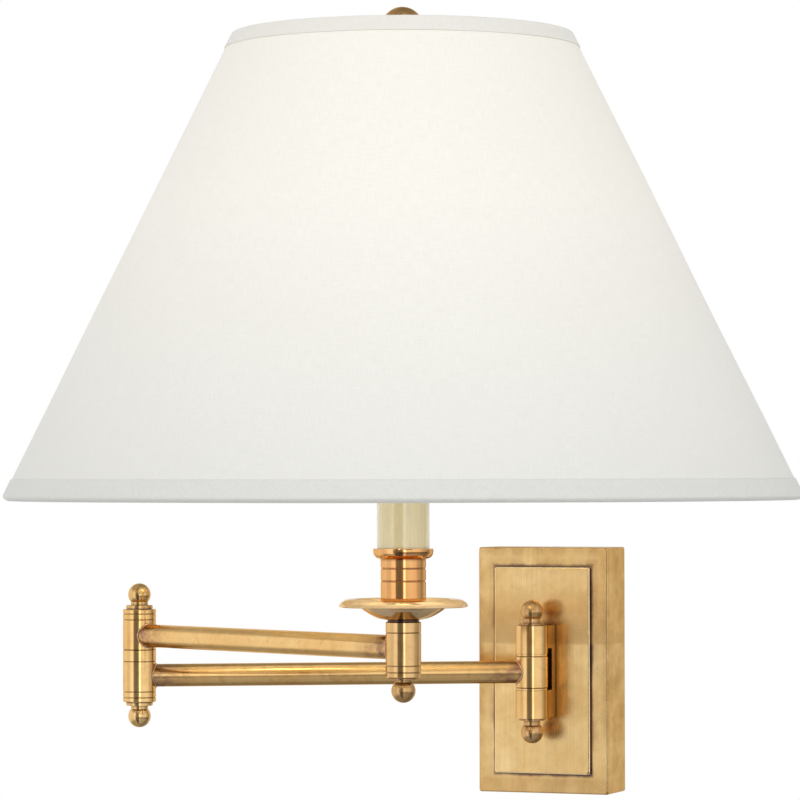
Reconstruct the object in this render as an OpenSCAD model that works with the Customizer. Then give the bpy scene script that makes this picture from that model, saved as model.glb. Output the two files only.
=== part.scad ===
// Swing arm wall sconce with an empire shade.
//
// Frame: the wall is the plane y = 0 and the room is on its -y side. +z is up and +x is to
// the right of somebody who faces the wall. The origin is the middle of the wall plate's back.
// Two brass arms of one length fold over each other: the lower arm turns on the wall bracket,
// and the upper arm turns on the elbow and carries the lamp. All sizes are in millimetres.

/* [Wall plate] */
// Width of the wall plate
plate_w = 72.5; // [66:0.5:84]
// Height of the wall plate
plate_h = 130; // [124:1:150]
// How far the plate's front face stands off the wall
plate_depth = 28; // [22:1:32]
// Thickness of the plate's sheet
plate_wall = 1.6; // [1.2:0.1:2]
// Radius of the plate's upright corners
plate_corner_r = 1.2; // [1:0.2:3]
// Radius of the soft front edge of the plate
plate_edge_r = 0.8; // [0.6:0.2:1.6]
// Margin of plate beside the raised panel
panel_side_margin = 9.5; // [6:0.5:12]
// Margin of plate above and below the raised panel
panel_end_margin = 10.2; // [6:0.1:14]
// Thickness of the raised panel
panel_t = 2; // [1:0.2:3]
// Distance between the two wall box screws
box_screw_spacing = 83.3; // [70:0.1:90]

/* [Arms] */
// Length of each arm between its pivot axes
arm_length = 206.5; // [180:0.5:260]
// Outside diameter of the arm tubes
tube_d = 11.8; // [10:0.2:12]
// Outside diameter of every knuckle barrel
barrel_d = 17.1; // [16:0.1:20]
// Distance from the raised panel to the wall pivot's axis
pivot_reach = 15.5; // [15:0.5:24]
// Angle between the wall and the lower arm at rest
lower_rest_angle = 30; // [0:1:90]
// Angle between the wall and the upper arm at rest
upper_rest_angle = 27; // [0:1:90]

/* [Candle] */
// Outside diameter of the candle sleeve
sleeve_d = 25.3; // [24:0.1:26]
// Outside diameter of the candle cup's body
cup_d = 21.8; // [20:0.2:22]
// Outside diameter of the drip pan
pan_d = 62; // [58:1:70]

/* [Shade] */
// Outside diameter of the shade's bottom edge
shade_bottom_d = 383; // [360:1:400]
// Outside diameter of the shade's top edge
shade_top_d = 164; // [150:1:180]
// Length of the shade's side, measured along the slope
shade_slant = 247.5; // [235:0.5:260]
// Height of the shade's bottom edge above the lower arm's axis
shade_bottom_z = 93.8; // [90:0.1:96]
// Width of the tape that binds the bottom edge
bottom_tape_w = 9; // [6:0.5:12]
// Width of the tape that binds the top edge
top_tape_w = 7.6; // [6:0.1:12]

/* [Hidden] */

// Facets of a full circle, and of a circle inside a hull
round_fn = 96;
hull_fn = 32;
// Gap between faces that turn on each other, and radial clearance of a turning fit
face_gap = 0.1;
turning_clearance = 0.05;

// Heights are measured from the lower arm's axis.
barrel_r = barrel_d / 2;
tube_r = tube_d / 2;
pin_r = 2.4;
pipe_r = 4.75;
pipe_bore_r = 3.2;
wire_r = 2.2;
wire_hole_r = 4;

// Wall bracket: a middle knuckle between two end barrels
wall_knuckle_h = 16.7;
pivot_washer_t = 1.3;
end_barrel_h = 14.5;
ear_z = wall_knuckle_h / 2 + face_gap + pivot_washer_t;
bracket_top_z = ear_z + end_barrel_h;
bracket_w = 15.8;
ear_relief = 2.6;
web_gap = 9;
panel_y = plate_depth + panel_t;
axis_y = panel_y + pivot_reach;

// Elbow: two long barrels with a spacer between them. Each arm enters nearer the inner end.
elbow_barrel_h = 21.2;
arm_to_outer_end = 13.6;
spacer_t = 5.6;
arm_to_inner_end = elbow_barrel_h - arm_to_outer_end;
elbow_bottom_z = -arm_to_outer_end;
spacer_z = arm_to_inner_end;
upper_barrel_z = spacer_z + spacer_t;
upper_axis_z = upper_barrel_z + arm_to_inner_end;
elbow_top_z = upper_barrel_z + elbow_barrel_h;
end_groove_z = [2.4, 5.4];

// Lamp stack, from the knuckle to the socket
knuckle_h = 26.8;
knuckle_z = upper_axis_z - 0.8 - knuckle_h / 2;
knuckle_top_z = knuckle_z + knuckle_h;
pan_sheet = 0.9;
pan_floor_z = knuckle_top_z + 1.7;
cup_flare_z = 63.4;
cup_top_z = 68.4;
cup_lip_r = 14.5;
sleeve_wall = 1.2;
sleeve_seat_z = 65.4;
sleeve_top_z = 109.6;
saddle_t = 1.6;
socket_z = sleeve_top_z + saddle_t;
socket_r = 16.4;
key_z = socket_z + 25;
bulb_z = socket_z + 38.4;

// Shade wall, leaning in by shade_lean
cloth_t = 0.5;
liner_t = 0.6;
tape_t = 0.5;
ring_wire_r = 1.5;
shade_lean = asin((shade_bottom_d - shade_top_d) / 2 / shade_slant);
shade_top_z = shade_bottom_z + shade_slant * cos(shade_lean);
ring_inset = cloth_t + liner_t + ring_wire_r;
ring_from_edge = 2;
hub_t = 1.5;
hub_z = shade_top_z - 12.4;
spoke_count = 3;
finial_ball_r = 10.3;
finial_ball_z = shade_top_z + 2.7;

// Harp
harp_wire_r = 1.6;
harp_leg_x = 30.2;
harp_foot_z = socket_z + 1.6;
harp_top_z = hub_z - 2.2;
harp_half_w = 54;

function arm_end(start, angle) = start + arm_length * [cos(angle), sin(angle)];
wall_axis = [0, -axis_y];
lower_heading = 180 + lower_rest_angle;
upper_heading = -upper_rest_angle;
elbow_axis = arm_end(wall_axis, lower_heading);

// ---- placing ----

module toward_room(y) { translate([0, -y, 0]) rotate([90, 0, 0]) children(); }
module at_wall_pivot() { translate([wall_axis.x, wall_axis.y, 0]) children(); }
module along_lower_arm() { at_wall_pivot() rotate([0, 0, lower_heading]) children(); }
module at_elbow() { translate([elbow_axis.x, elbow_axis.y, 0]) children(); }
module along_upper_arm() { at_elbow() rotate([0, 0, upper_heading]) children(); }
module at_lamp() { along_upper_arm() translate([arm_length, 0, 0]) children(); }

// ---- shapes that repeat ----

// Curve through the points p, with n steps between neighbours
function smooth(p, n = 5) = [
    for (i = [0 : len(p) - 2], k = [0 : n - 1])
        let (t = k / n, a = p[max(i - 1, 0)], b = p[i], c = p[i + 1], d = p[min(i + 2, len(p) - 1)])
        (2 * b + (c - a) * t + (2 * a - 5 * b + 4 * c - d) * t * t
            + (3 * b - a - 3 * c + d) * t * t * t) / 2,
    p[len(p) - 1]
];

// Unit normal, to the left of the path p at its point i
function left_normal(p, i) =
    let (d = p[min(i + 1, len(p) - 1)] - p[max(i - 1, 0)]) [-d.y, d.x] / norm(d);

// Path p moved sideways by s, and kept off the far side of the axis
function shifted(p, s) = [
    for (i = [0 : len(p) - 1]) let (q = p[i] + s * left_normal(p, i)) [max(q.x, 0), q.y]
];

function reversed(p) = [for (i = [len(p) - 1 : -1 : 0]) p[i]];

// Sheet of thickness t whose middle follows the path p, turned about the z axis
module spun_sheet(p, t) {
    rotate_extrude($fn = round_fn)
        polygon(concat(shifted(p, t / 2), reversed(shifted(p, -t / 2))));
}

// Round wire of radius r along the path p, which lies in the xz plane
module bent_wire(p, r, sides = 10) {
    last = len(p) - 1;
    rings = [
        for (i = [0 : last], k = [0 : sides - 1])
            let (n = left_normal(p, i), q = p[i] + r * cos(360 * k / sides) * n)
            [q.x, r * sin(360 * k / sides), q.y]
    ];
    skin = [
        for (i = [0 : last - 1], k = [0 : sides - 1])
            let (j = (k + 1) % sides)
            [i * sides + k, i * sides + j, (i + 1) * sides + j, (i + 1) * sides + k]
    ];
    first_end = [for (k = [sides - 1 : -1 : 0]) k];
    last_end = [for (k = [0 : sides - 1]) last * sides + k];
    polyhedron(rings, concat(skin, [first_end, last_end]));
}

// Ring of rectangular section
module ring(r_out, r_in, h) {
    difference() {
        cylinder(r = r_out, h = h, $fn = round_fn);
        translate([0, 0, -1]) cylinder(r = r_in, h = h + 2, $fn = round_fn);
    }
}

// Knuckle barrel with turned grooves at the heights in groove_z
module barrel(h, bore_r, groove_z = []) {
    groove_r = 0.3;
    edge = 0.4;
    rotate_extrude($fn = round_fn)
        difference() {
            polygon([
                [bore_r, 0], [barrel_r - edge, 0], [barrel_r, edge],
                [barrel_r, h - edge], [barrel_r - edge, h], [bore_r, h]
            ]);
            for (z = groove_z) translate([barrel_r, z]) circle(groove_r, $fn = hull_fn);
        }
}

// Hole for the wire, from the barrel's axis out along +x at height z
module wire_hole(z) {
    translate([0, 0, z]) rotate([0, 90, 0]) cylinder(r = wire_hole_r, h = barrel_r + 1, $fn = round_fn);
}

// Ball nut that stands on z = 0 on its disc. It has a blind bore, or a stud that points down.
module ball_nut(neck_r, disc_t, centre_z, bore_r = 0, stud_r = 0) {
    disc_r = 6.9;
    disc_edge = 0.3;
    ball_r = 5.8;
    stud_l = 9;
    difference() {
        rotate_extrude($fn = round_fn)
            intersection() {
                union() {
                    square([disc_r - disc_edge, disc_t]);
                    translate([0, disc_edge]) square([disc_r, disc_t - 2 * disc_edge]);
                    square([neck_r, centre_z]);
                    translate([0, centre_z]) circle(ball_r, $fn = round_fn);
                    if (stud_r > 0) translate([0, -stud_l]) square([stud_r, stud_l]);
                }
                translate([0, -stud_l]) square([disc_r, centre_z + ball_r + stud_l]);
            }
        if (bore_r > 0) translate([0, 0, -1]) cylinder(r = bore_r, h = centre_z + 1, $fn = round_fn);
    }
}

// Arm tube along +x between two barrels, its ends shaped to sit on them
module arm_tube(z) {
    tube_bore_r = tube_r - 1.2;
    difference() {
        translate([0, 0, z]) rotate([0, 90, 0])
            difference() {
                cylinder(r = tube_r, h = arm_length, $fn = round_fn);
                translate([0, 0, -1]) cylinder(r = tube_bore_r, h = arm_length + 2, $fn = round_fn);
            }
        for (x = [0, arm_length])
            translate([x, 0, z - barrel_r]) cylinder(r = barrel_r, h = barrel_d, $fn = round_fn);
    }
}

// ---- wall plate ----

module plate_outline(w, h, r) {
    square([w - 2 * r, h], center = true);
    square([w, h - 2 * r], center = true);
    for (x = [-1, 1], z = [-1, 1])
        translate([x * (w / 2 - r), z * (h / 2 - r)]) circle(r, $fn = hull_fn);
}

// Slab of depth d with rounded upright corners and a soft front edge of radius edge
module soft_slab(w, h, d, r, edge) {
    hull()
        for (a = [0, 30, 60, 90]) {
            inset = edge * (1 - cos(a));
            linear_extrude(d - edge + edge * sin(a))
                plate_outline(w - 2 * inset, h - 2 * inset, r);
        }
}

set_screw_y = 6;
set_screw_r = 2;
strap_w = 22;
strap_t = 1.6;
strap_end_z = plate_h / 2 - plate_wall - 0.3;
ground_screw_z = -22;
ground_screw_r = 1.9;

module mounting_strap() {
    tab_depth = 11;
    box_hole_r = 2.4;
    color("silver")
        difference() {
            union() {
                translate([-strap_w / 2, -strap_t, -strap_end_z]) cube([strap_w, strap_t, 2 * strap_end_z]);
                for (z = [-strap_end_z, strap_end_z - strap_t])
                    translate([-strap_w / 2, -tab_depth, z]) cube([strap_w, tab_depth, strap_t]);
            }
            for (z = [-1, 1] * box_screw_spacing / 2)
                translate([0, 0, z]) toward_room(-1) cylinder(r = box_hole_r, h = strap_t + 2, $fn = round_fn);
            translate([0, 0, ground_screw_z]) toward_room(-1)
                cylinder(r = ground_screw_r, h = strap_t + 2, $fn = round_fn);
            translate([0, -set_screw_y, -plate_h / 2]) cylinder(r = set_screw_r, h = plate_h, $fn = round_fn);
        }
}

module backplate_shell() {
    nipple_hole_r = pipe_r + 0.2;
    set_screw_hole_r = set_screw_r + 0.2;
    color("darkgoldenrod")
        difference() {
            toward_room(0) soft_slab(plate_w, plate_h, plate_depth, plate_corner_r, plate_edge_r);
            toward_room(-1)
                linear_extrude(plate_depth - plate_wall + 1)
                    square([plate_w - 2 * plate_wall, plate_h - 2 * plate_wall], center = true);
            toward_room(0) cylinder(r = nipple_hole_r, h = plate_depth + 1, $fn = round_fn);
            translate([0, -set_screw_y, -plate_h / 2 - 1])
                cylinder(r = set_screw_hole_r, h = plate_h + 2, $fn = round_fn);
        }
}

module raised_panel() {
    panel_edge_r = 0.9;
    panel_corner_r = 1.4;
    nipple_hole_r = pipe_r + 0.2;
    color("goldenrod")
        difference() {
            toward_room(plate_depth)
                soft_slab(plate_w - 2 * panel_side_margin, plate_h - 2 * panel_end_margin,
                    panel_t, panel_corner_r, panel_edge_r);
            toward_room(plate_depth - 1) cylinder(r = nipple_hole_r, h = panel_t + 2, $fn = round_fn);
        }
}

// Ear at height z: a barrel and the block behind it, which starts relief higher
module bracket_ear(z, relief = 0) {
    translate([-bracket_w / 2, -axis_y, z + relief]) cube([bracket_w, web_gap + 1, end_barrel_h - relief]);
    translate([0, -axis_y, z]) cylinder(r = barrel_r, h = end_barrel_h, $fn = round_fn);
}

module pivot_bracket() {
    color("goldenrod")
        difference() {
            union() {
                translate([-bracket_w / 2, -axis_y + web_gap, -bracket_top_z])
                    cube([bracket_w, pivot_reach - web_gap, 2 * bracket_top_z]);
                bracket_ear(-bracket_top_z);
                bracket_ear(ear_z, relief = ear_relief);
            }
            translate([0, -axis_y, -bracket_top_z - 1])
                cylinder(r = pin_r, h = 2 * bracket_top_z + 2, $fn = round_fn);
            toward_room(panel_y - 1) cylinder(r = pipe_r, h = pivot_reach - web_gap + 2, $fn = round_fn);
        }
}

nut_seat_y = plate_depth - plate_wall;
lock_washer_t = 1;
lock_nut_t = 3.5;

module bracket_nipple() {
    inner_y = nut_seat_y - lock_washer_t - lock_nut_t - 3;
    outer_y = axis_y - web_gap - 1;
    color("darkkhaki") toward_room(inner_y) ring(pipe_r, pipe_bore_r, outer_y - inner_y);
}

module bracket_lock_washer() {
    color("silver") toward_room(nut_seat_y - lock_washer_t) ring(8.5, pipe_r, lock_washer_t);
}

module bracket_lock_nut() {
    across_corners = 16;
    color("silver")
        toward_room(nut_seat_y - lock_washer_t - lock_nut_t)
            difference() {
                cylinder(d = across_corners, h = lock_nut_t, $fn = 6);
                translate([0, 0, -1]) cylinder(r = pipe_r, h = lock_nut_t + 2, $fn = round_fn);
            }
}

// Two grub screws with hexagon sockets, one up through each end wall of the plate
module plate_set_screws() {
    screw_l = 6;
    socket_af = 2;
    color("darkgoldenrod")
        for (side = [0, 1])
            translate([0, -set_screw_y, 0]) mirror([0, 0, side])
                translate([0, 0, plate_h / 2 - screw_l - 0.3])
                    difference() {
                        cylinder(r = set_screw_r, h = screw_l, $fn = round_fn);
                        translate([0, 0, screw_l - 1.5]) cylinder(d = socket_af, h = 2, $fn = 6);
                    }
}

module ground_screw() {
    head_af = 8;
    head_t = 2.6;
    color("green")
        translate([0, 0, ground_screw_z])
            difference() {
                union() {
                    toward_room(0) cylinder(r = ground_screw_r, h = strap_t, $fn = round_fn);
                    toward_room(strap_t) cylinder(d = head_af / cos(30), h = head_t, $fn = 6);
                }
                toward_room(strap_t + head_t - 1) translate([-head_af, -0.5, 0]) cube([2 * head_af, 1, 2]);
            }
}

// ---- wall pivot ----

module wall_pivot_pin() {
    pin_l = 2 * (bracket_top_z + 6.4);
    color("darkkhaki") at_wall_pivot() cylinder(r = pin_r, h = pin_l, center = true, $fn = round_fn);
}

module wall_pivot_washers() {
    color("khaki")
        at_wall_pivot()
            for (z = [-ear_z, ear_z - pivot_washer_t])
                translate([0, 0, z]) ring(barrel_r - 0.3, pin_r, pivot_washer_t);
}

module wall_top_ball_nut() {
    color("goldenrod") at_wall_pivot() translate([0, 0, bracket_top_z]) ball_nut(4.4, 1.2, 7.5, bore_r = pin_r);
}

module wall_bottom_ball_nut() {
    color("goldenrod")
        at_wall_pivot() mirror([0, 0, 1]) translate([0, 0, bracket_top_z]) ball_nut(4.4, 1.2, 7.5, bore_r = pin_r);
}

// ---- lower arm ----

// The knuckle has a slot at its back, where the wire comes in from the bracket.
module wall_knuckle() {
    slot_h = 5;
    color("goldenrod")
        along_lower_arm()
            difference() {
                translate([0, 0, -wall_knuckle_h / 2])
                    barrel(wall_knuckle_h, pin_r + turning_clearance);
                wire_hole(0);
                rotate([0, 0, -90 - lower_rest_angle])
                    translate([0, -slot_h / 2, -slot_h / 2]) cube([barrel_d, slot_h, slot_h]);
            }
}

module lower_arm_tube() { color("goldenrod") along_lower_arm() arm_tube(0); }

module lower_arm_wire() {
    start_x = 4;
    end_x = arm_length - pipe_r - 0.5;
    color("dimgray")
        along_lower_arm() translate([start_x, 0, 0]) rotate([0, 90, 0])
            cylinder(r = wire_r, h = end_x - start_x, $fn = round_fn);
}

module elbow_lower_barrel() {
    color("goldenrod")
        along_lower_arm() translate([arm_length, 0, 0]) rotate([0, 0, 180])
            difference() {
                translate([0, 0, elbow_bottom_z]) barrel(elbow_barrel_h, pipe_r, end_groove_z);
                wire_hole(0);
            }
}

// Hollow pivot, with a window at each arm for the wire
module elbow_pipe() {
    window_h = 6;
    pipe_top_z = elbow_top_z + face_gap;
    color("darkkhaki")
        along_lower_arm() translate([arm_length, 0, 0])
            difference() {
                translate([0, 0, elbow_bottom_z]) ring(pipe_r, pipe_bore_r, pipe_top_z - elbow_bottom_z);
                for (z = [0, upper_axis_z])
                    translate([-pipe_r - 1, -wire_hole_r, z - window_h / 2])
                        cube([pipe_r, 2 * wire_hole_r, window_h]);
            }
}

module elbow_spacer() {
    color("khaki") at_elbow() translate([0, 0, spacer_z]) ring(barrel_r, pipe_r, spacer_t);
}

module elbow_bottom_ball_nut() {
    color("goldenrod")
        at_elbow() mirror([0, 0, 1]) translate([0, 0, -elbow_bottom_z]) ball_nut(4.4, 1.9, 7.4, stud_r = pipe_bore_r);
}

module elbow_top_ball_nut() {
    color("goldenrod")
        at_elbow() translate([0, 0, elbow_top_z + face_gap]) ball_nut(4.4, 1.9, 7.4, stud_r = pipe_bore_r);
}

// ---- upper arm ----

module elbow_upper_barrel() {
    h = elbow_barrel_h - face_gap;
    grooves = [for (z = end_groove_z) h - z];
    color("goldenrod")
        along_upper_arm()
            difference() {
                translate([0, 0, upper_barrel_z + face_gap]) barrel(h, pipe_r + turning_clearance, grooves);
                wire_hole(upper_axis_z);
            }
}

module upper_arm_tube() { color("goldenrod") along_upper_arm() arm_tube(upper_axis_z); }

// The wire runs through the tube, turns up inside the lamp pipe and ends in the socket's cap.
module upper_arm_wire() {
    start_x = pipe_r + 0.5;
    top_z = socket_z + 6;
    color("dimgray") {
        along_upper_arm() translate([start_x, 0, upper_axis_z]) rotate([0, 90, 0])
            cylinder(r = wire_r, h = arm_length - start_x, $fn = round_fn);
        at_lamp() translate([0, 0, upper_axis_z]) {
            sphere(r = wire_r, $fn = round_fn);
            cylinder(r = wire_r, h = top_z - upper_axis_z, $fn = round_fn);
        }
    }
}

module lamp_knuckle() {
    groove_z = [2.6, 5.7, knuckle_h - 5.2];
    color("goldenrod")
        at_lamp()
            difference() {
                translate([0, 0, knuckle_z]) barrel(knuckle_h, pipe_r, groove_z);
                rotate([0, 0, 180]) wire_hole(upper_axis_z);
            }
}

module lamp_ball_nut() {
    color("goldenrod")
        at_lamp() mirror([0, 0, 1]) translate([0, 0, -knuckle_z])
            ball_nut(4, 0.9, 6.3, stud_r = pipe_bore_r);
}

module lamp_pipe() {
    window_h = 6;
    color("darkkhaki")
        at_lamp()
            difference() {
                translate([0, 0, knuckle_z]) ring(pipe_r, pipe_bore_r, socket_z + 4 - knuckle_z);
                translate([-pipe_r - 1, -wire_hole_r + 1, upper_axis_z - window_h / 2])
                    cube([pipe_r, 2 * wire_hole_r - 2, window_h]);
            }
}

// Dished pan: a flat floor, a bowl that rises to a crest, and a lip that droops outside it
module drip_pan() {
    boss_r = 7.6;
    mid_z = pan_floor_z - pan_sheet / 2;
    lip_r = pan_d / 2 - 0.4;
    outline = smooth([
        [pipe_r, mid_z], [7.2, mid_z], [12.5, mid_z + 1], [18.5, mid_z + 4.3], [22.3, mid_z + 7.8],
        [24.8, mid_z + 9], [27.4, mid_z + 8.9], [29.7, mid_z + 7.6], [lip_r, mid_z + 5.9]
    ]);
    color("peru")
        at_lamp() {
            spun_sheet(outline, pan_sheet);
            translate([0, 0, knuckle_top_z]) ring(boss_r, pipe_r, pan_floor_z - knuckle_top_z - pan_sheet / 2);
        }
}

// Candle cup: a turned body with two grooves and an ovolo lip that holds the sleeve
module candle_cup() {
    cup_r = cup_d / 2;
    wall = 1;
    foot_r = 6.5;
    foot_h = 3.8;
    ovolo_h = 3.6;
    groove_z = [52.9, 59];
    foot = [for (a = [0 : 15 : 90]) [foot_r + (cup_r - foot_r) * sin(a), pan_floor_z + foot_h * (1 - cos(a))]];
    ovolo = [for (a = [0 : 15 : 90]) [cup_r + (cup_lip_r - cup_r) * sin(a), cup_flare_z + ovolo_h * (1 - cos(a))]];
    hollow = [
        [cup_lip_r, cup_top_z - 0.3], [cup_lip_r - 0.3, cup_top_z], [sleeve_d / 2, cup_top_z],
        [sleeve_d / 2, sleeve_seat_z], [cup_r - wall, sleeve_seat_z],
        [cup_r - wall, pan_floor_z + 4.5], [pipe_r, pan_floor_z + 4.5], [pipe_r, pan_floor_z]
    ];
    color("peru")
        at_lamp()
            rotate_extrude($fn = round_fn)
                difference() {
                    polygon(concat(foot, ovolo, hollow));
                    for (z = groove_z) translate([cup_r + 0.05, z]) circle(0.42, $fn = hull_fn);
                }
}

module candle_sleeve() {
    color("wheat")
        at_lamp() translate([0, 0, sleeve_seat_z])
            ring(sleeve_d / 2, sleeve_d / 2 - sleeve_wall, sleeve_top_z - sleeve_seat_z);
}

// ---- harp ----

arm_x = harp_leg_x - harp_wire_r - 0.6;

// Strap under the socket with a narrow tab standing up at each end
module harp_saddle() {
    strap_half_w = 6;
    tab_half_w = 2;
    tab_h = 12;
    color("darkkhaki")
        at_lamp()
            difference() {
                union() {
                    translate([-arm_x, -strap_half_w, sleeve_top_z]) cube([2 * arm_x, 2 * strap_half_w, saddle_t]);
                    for (x = [-arm_x, arm_x - saddle_t])
                        translate([x, -tab_half_w, sleeve_top_z]) cube([saddle_t, 2 * tab_half_w, tab_h]);
                }
                translate([0, 0, sleeve_top_z - 1]) cylinder(r = pipe_r, h = saddle_t + 2, $fn = round_fn);
            }
}

// Wire loop round the bulb, with a collar and a threaded stud on its top
module harp() {
    rise = harp_top_z - harp_foot_z;
    side = smooth([
        [harp_leg_x, harp_foot_z], [harp_leg_x, harp_foot_z + 11],
        [0.72 * harp_half_w, harp_foot_z + 0.17 * rise], [0.92 * harp_half_w, harp_foot_z + 0.33 * rise],
        [harp_half_w, harp_foot_z + 0.51 * rise], [0.93 * harp_half_w, harp_foot_z + 0.70 * rise],
        [0.71 * harp_half_w, harp_foot_z + 0.86 * rise], [0.36 * harp_half_w, harp_foot_z + 0.965 * rise],
        [0, harp_top_z]
    ], 4);
    other_side = [for (i = [len(side) - 2 : -1 : 0]) [-side[i].x, side[i].y]];
    collar_r = 6;
    stud_r = 3.15;
    color("darkkhaki")
        at_lamp() {
            bent_wire(concat(side, other_side), harp_wire_r);
            translate([0, 0, harp_top_z - 2.2]) cylinder(r = collar_r, h = hub_z - harp_top_z + 2.2, $fn = round_fn);
            translate([0, 0, hub_z - 1]) cylinder(r = stud_r, h = 12, $fn = round_fn);
        }
}

module harp_ferrules() {
    color("goldenrod")
        at_lamp()
            for (side = [0, 1]) mirror([side, 0, 0])
                translate([harp_leg_x - 1, 0, sleeve_top_z + saddle_t])
                    ring(4.3, 3.6, 9);
}

// ---- socket and bulb ----

module socket_cap() {
    skin = 0.6;
    top_z = socket_z + 20;
    outline = smooth([
        [pipe_r + 0.6, socket_z + 0.3], [10, socket_z + 1.6], [14, socket_z + 5], [16, socket_z + 9.5],
        [socket_r, socket_z + 14], [socket_r, top_z]
    ]);
    color("darkgoldenrod")
        at_lamp() {
            spun_sheet(outline, skin);
            translate([0, 0, socket_z]) ring(pipe_r + 1.4, pipe_r, 4);
        }
}

// Hole in the side of the socket for the switch key's shaft
module key_hole(r, depth) {
    translate([0, 0, key_z]) rotate([90, 0, 0]) cylinder(r = r, h = depth, $fn = round_fn);
}

shell_r = socket_r - 0.3;
shell_skin = 0.5;

module socket_shell() {
    z = socket_z + 16;
    h = 41;
    color("darkgoldenrod")
        at_lamp()
            difference() {
                union() {
                    translate([0, 0, z]) ring(shell_r, shell_r - shell_skin, h);
                    translate([0, 0, z + h]) rotate_extrude($fn = round_fn)
                        translate([shell_r - shell_skin / 2, 0]) circle(0.6, $fn = hull_fn);
                }
                key_hole(3.2, shell_r + 1);
            }
}

module socket_insulator() {
    color("wheat")
        at_lamp()
            difference() {
                translate([0, 0, socket_z + 16]) ring(shell_r - shell_skin, shell_r - shell_skin - 0.5, 39);
                key_hole(3.2, shell_r + 1);
            }
}

module socket_body() {
    body_r = 14.4;
    bottom_z = socket_z + 12;
    color("black")
        at_lamp()
            difference() {
                translate([0, 0, bottom_z]) cylinder(r = body_r, h = bulb_z - bottom_z - 3.4, $fn = round_fn);
                key_hole(1.5 + turning_clearance, body_r + 1);
            }
}

module screw_shell() {
    floor_z = bulb_z - 3.4;
    color("silver")
        at_lamp() {
            translate([0, 0, floor_z]) ring(13.9, 13.4, 20);
            translate([0, 0, floor_z]) ring(13.9, 8, 0.5);
        }
}

module centre_contact() {
    color("goldenrod") at_lamp() translate([0, 0, bulb_z - 3.4]) cylinder(r = 3.5, h = 3.4, $fn = round_fn);
}

// Screw base: a contact button, an insulating cone and a rolled thread
module bulb_base() {
    thread_pitch = 3.6;
    thread_count = 5;
    base_r = 12.8;
    cone_h = 3;
    base_h = 20;
    color("lightgray")
        at_lamp() translate([0, 0, bulb_z])
            rotate_extrude($fn = round_fn) {
                polygon([
                    [0, 0], [3, 0], [6, 0.8], [11, cone_h], [base_r, cone_h + 1], [base_r, base_h],
                    [base_r - 0.5, base_h], [base_r - 0.5, cone_h + 1.4], [0, cone_h - 0.6]
                ]);
                for (i = [0 : thread_count - 1])
                    translate([base_r - 0.25, cone_h + 1.6 + i * thread_pitch * 0.8]) circle(0.5, $fn = hull_fn);
            }
}

module bulb_glass() {
    z = bulb_z + 16;
    outline = smooth([
        [11.6, z], [11.7, z + 6], [14.8, z + 16], [21.4, z + 30], [27.4, z + 43], [29.7, z + 55],
        [27.6, z + 68], [20.5, z + 79], [10.5, z + 85.4], [0, z + 87]
    ]);
    color("white", 0.6) at_lamp() spun_sheet(outline, 0.8);
}

module bulb_filament() {
    stem_z = bulb_z + 8;
    stem_h = 44;
    half_w = 13;
    color("lightgray")
        at_lamp() translate([0, 0, stem_z]) {
            cylinder(r1 = 7, r2 = 2.5, h = 16, $fn = round_fn);
            cylinder(r = 2.5, h = stem_h, $fn = round_fn);
            for (side = [-1, 1])
                translate([side * 1.4, 0, stem_h - 6]) rotate([0, side * 50, 0])
                    cylinder(r = 0.5, h = half_w / sin(50), $fn = round_fn);
            translate([-half_w, 0, stem_h - 6 + half_w / tan(50)]) rotate([0, 90, 0])
                cylinder(r = 0.8, h = 2 * half_w, $fn = round_fn);
        }
}

// ---- shade ----

// Section of the shade's wall: x is out through the wall and y is up along it from the bottom edge
module turned_wall_section() {
    rotate_extrude($fn = 2 * round_fn)
        translate([shade_bottom_d / 2, shade_bottom_z]) rotate(shade_lean) children();
}

// Tape of width w folded over an edge and round its wire ring, for the edge at y = 0
module tape_section(w) {
    inner_x = -(tape_t + ring_inset + ring_wire_r + 0.02);
    fold_w = 5;
    translate([-tape_t, 0]) square([tape_t, w]);
    translate([inner_x - tape_t, -tape_t]) square([-inner_x + tape_t, tape_t]);
    translate([inner_x - tape_t, 0]) square([tape_t, fold_w]);
}

// The cloth lies under the tape, so its face is set in by the tape's thickness.
cloth_x = -tape_t;

module shade_fabric() {
    color("whitesmoke")
        at_lamp() turned_wall_section() translate([cloth_x - cloth_t, 0]) square([cloth_t, shade_slant]);
}

module shade_liner() {
    color("ivory")
        at_lamp() turned_wall_section()
            translate([cloth_x - cloth_t - liner_t, 0]) square([liner_t, shade_slant]);
}

module shade_bottom_binding() {
    color("gainsboro") at_lamp() turned_wall_section() tape_section(bottom_tape_w);
}

ring_x = cloth_x - ring_inset + 0.01;
top_ring_r = shade_top_d / 2 + ring_from_edge * sin(shade_lean) + ring_x * cos(shade_lean);
top_ring_z = shade_top_z - ring_from_edge * cos(shade_lean) + ring_x * sin(shade_lean);
spoke_r = 1.4;

// Straight spokes of radius r from the hub up to the middle of the top ring's wire
module spokes(r) {
    start = 9;
    run = top_ring_r - start;
    rise = top_ring_z - hub_z - hub_t / 2;
    for (i = [0 : spoke_count - 1])
        rotate([0, 0, 90 + i * 360 / spoke_count])
            translate([start, 0, hub_z + hub_t / 2])
                rotate([0, 90 - atan2(rise, run), 0])
                    cylinder(r = r, h = norm([run, rise]), $fn = round_fn);
}

// The tape's inner fold has a slot for each spoke.
module shade_top_binding() {
    color("gainsboro")
        at_lamp()
            difference() {
                turned_wall_section()
                    translate([0, shade_slant]) mirror([0, 1]) tape_section(top_tape_w);
                spokes(spoke_r + 0.2);
            }
}

module shade_bottom_ring() {
    color("white")
        at_lamp() turned_wall_section() translate([ring_x, ring_from_edge]) circle(ring_wire_r, $fn = hull_fn);
}

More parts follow.
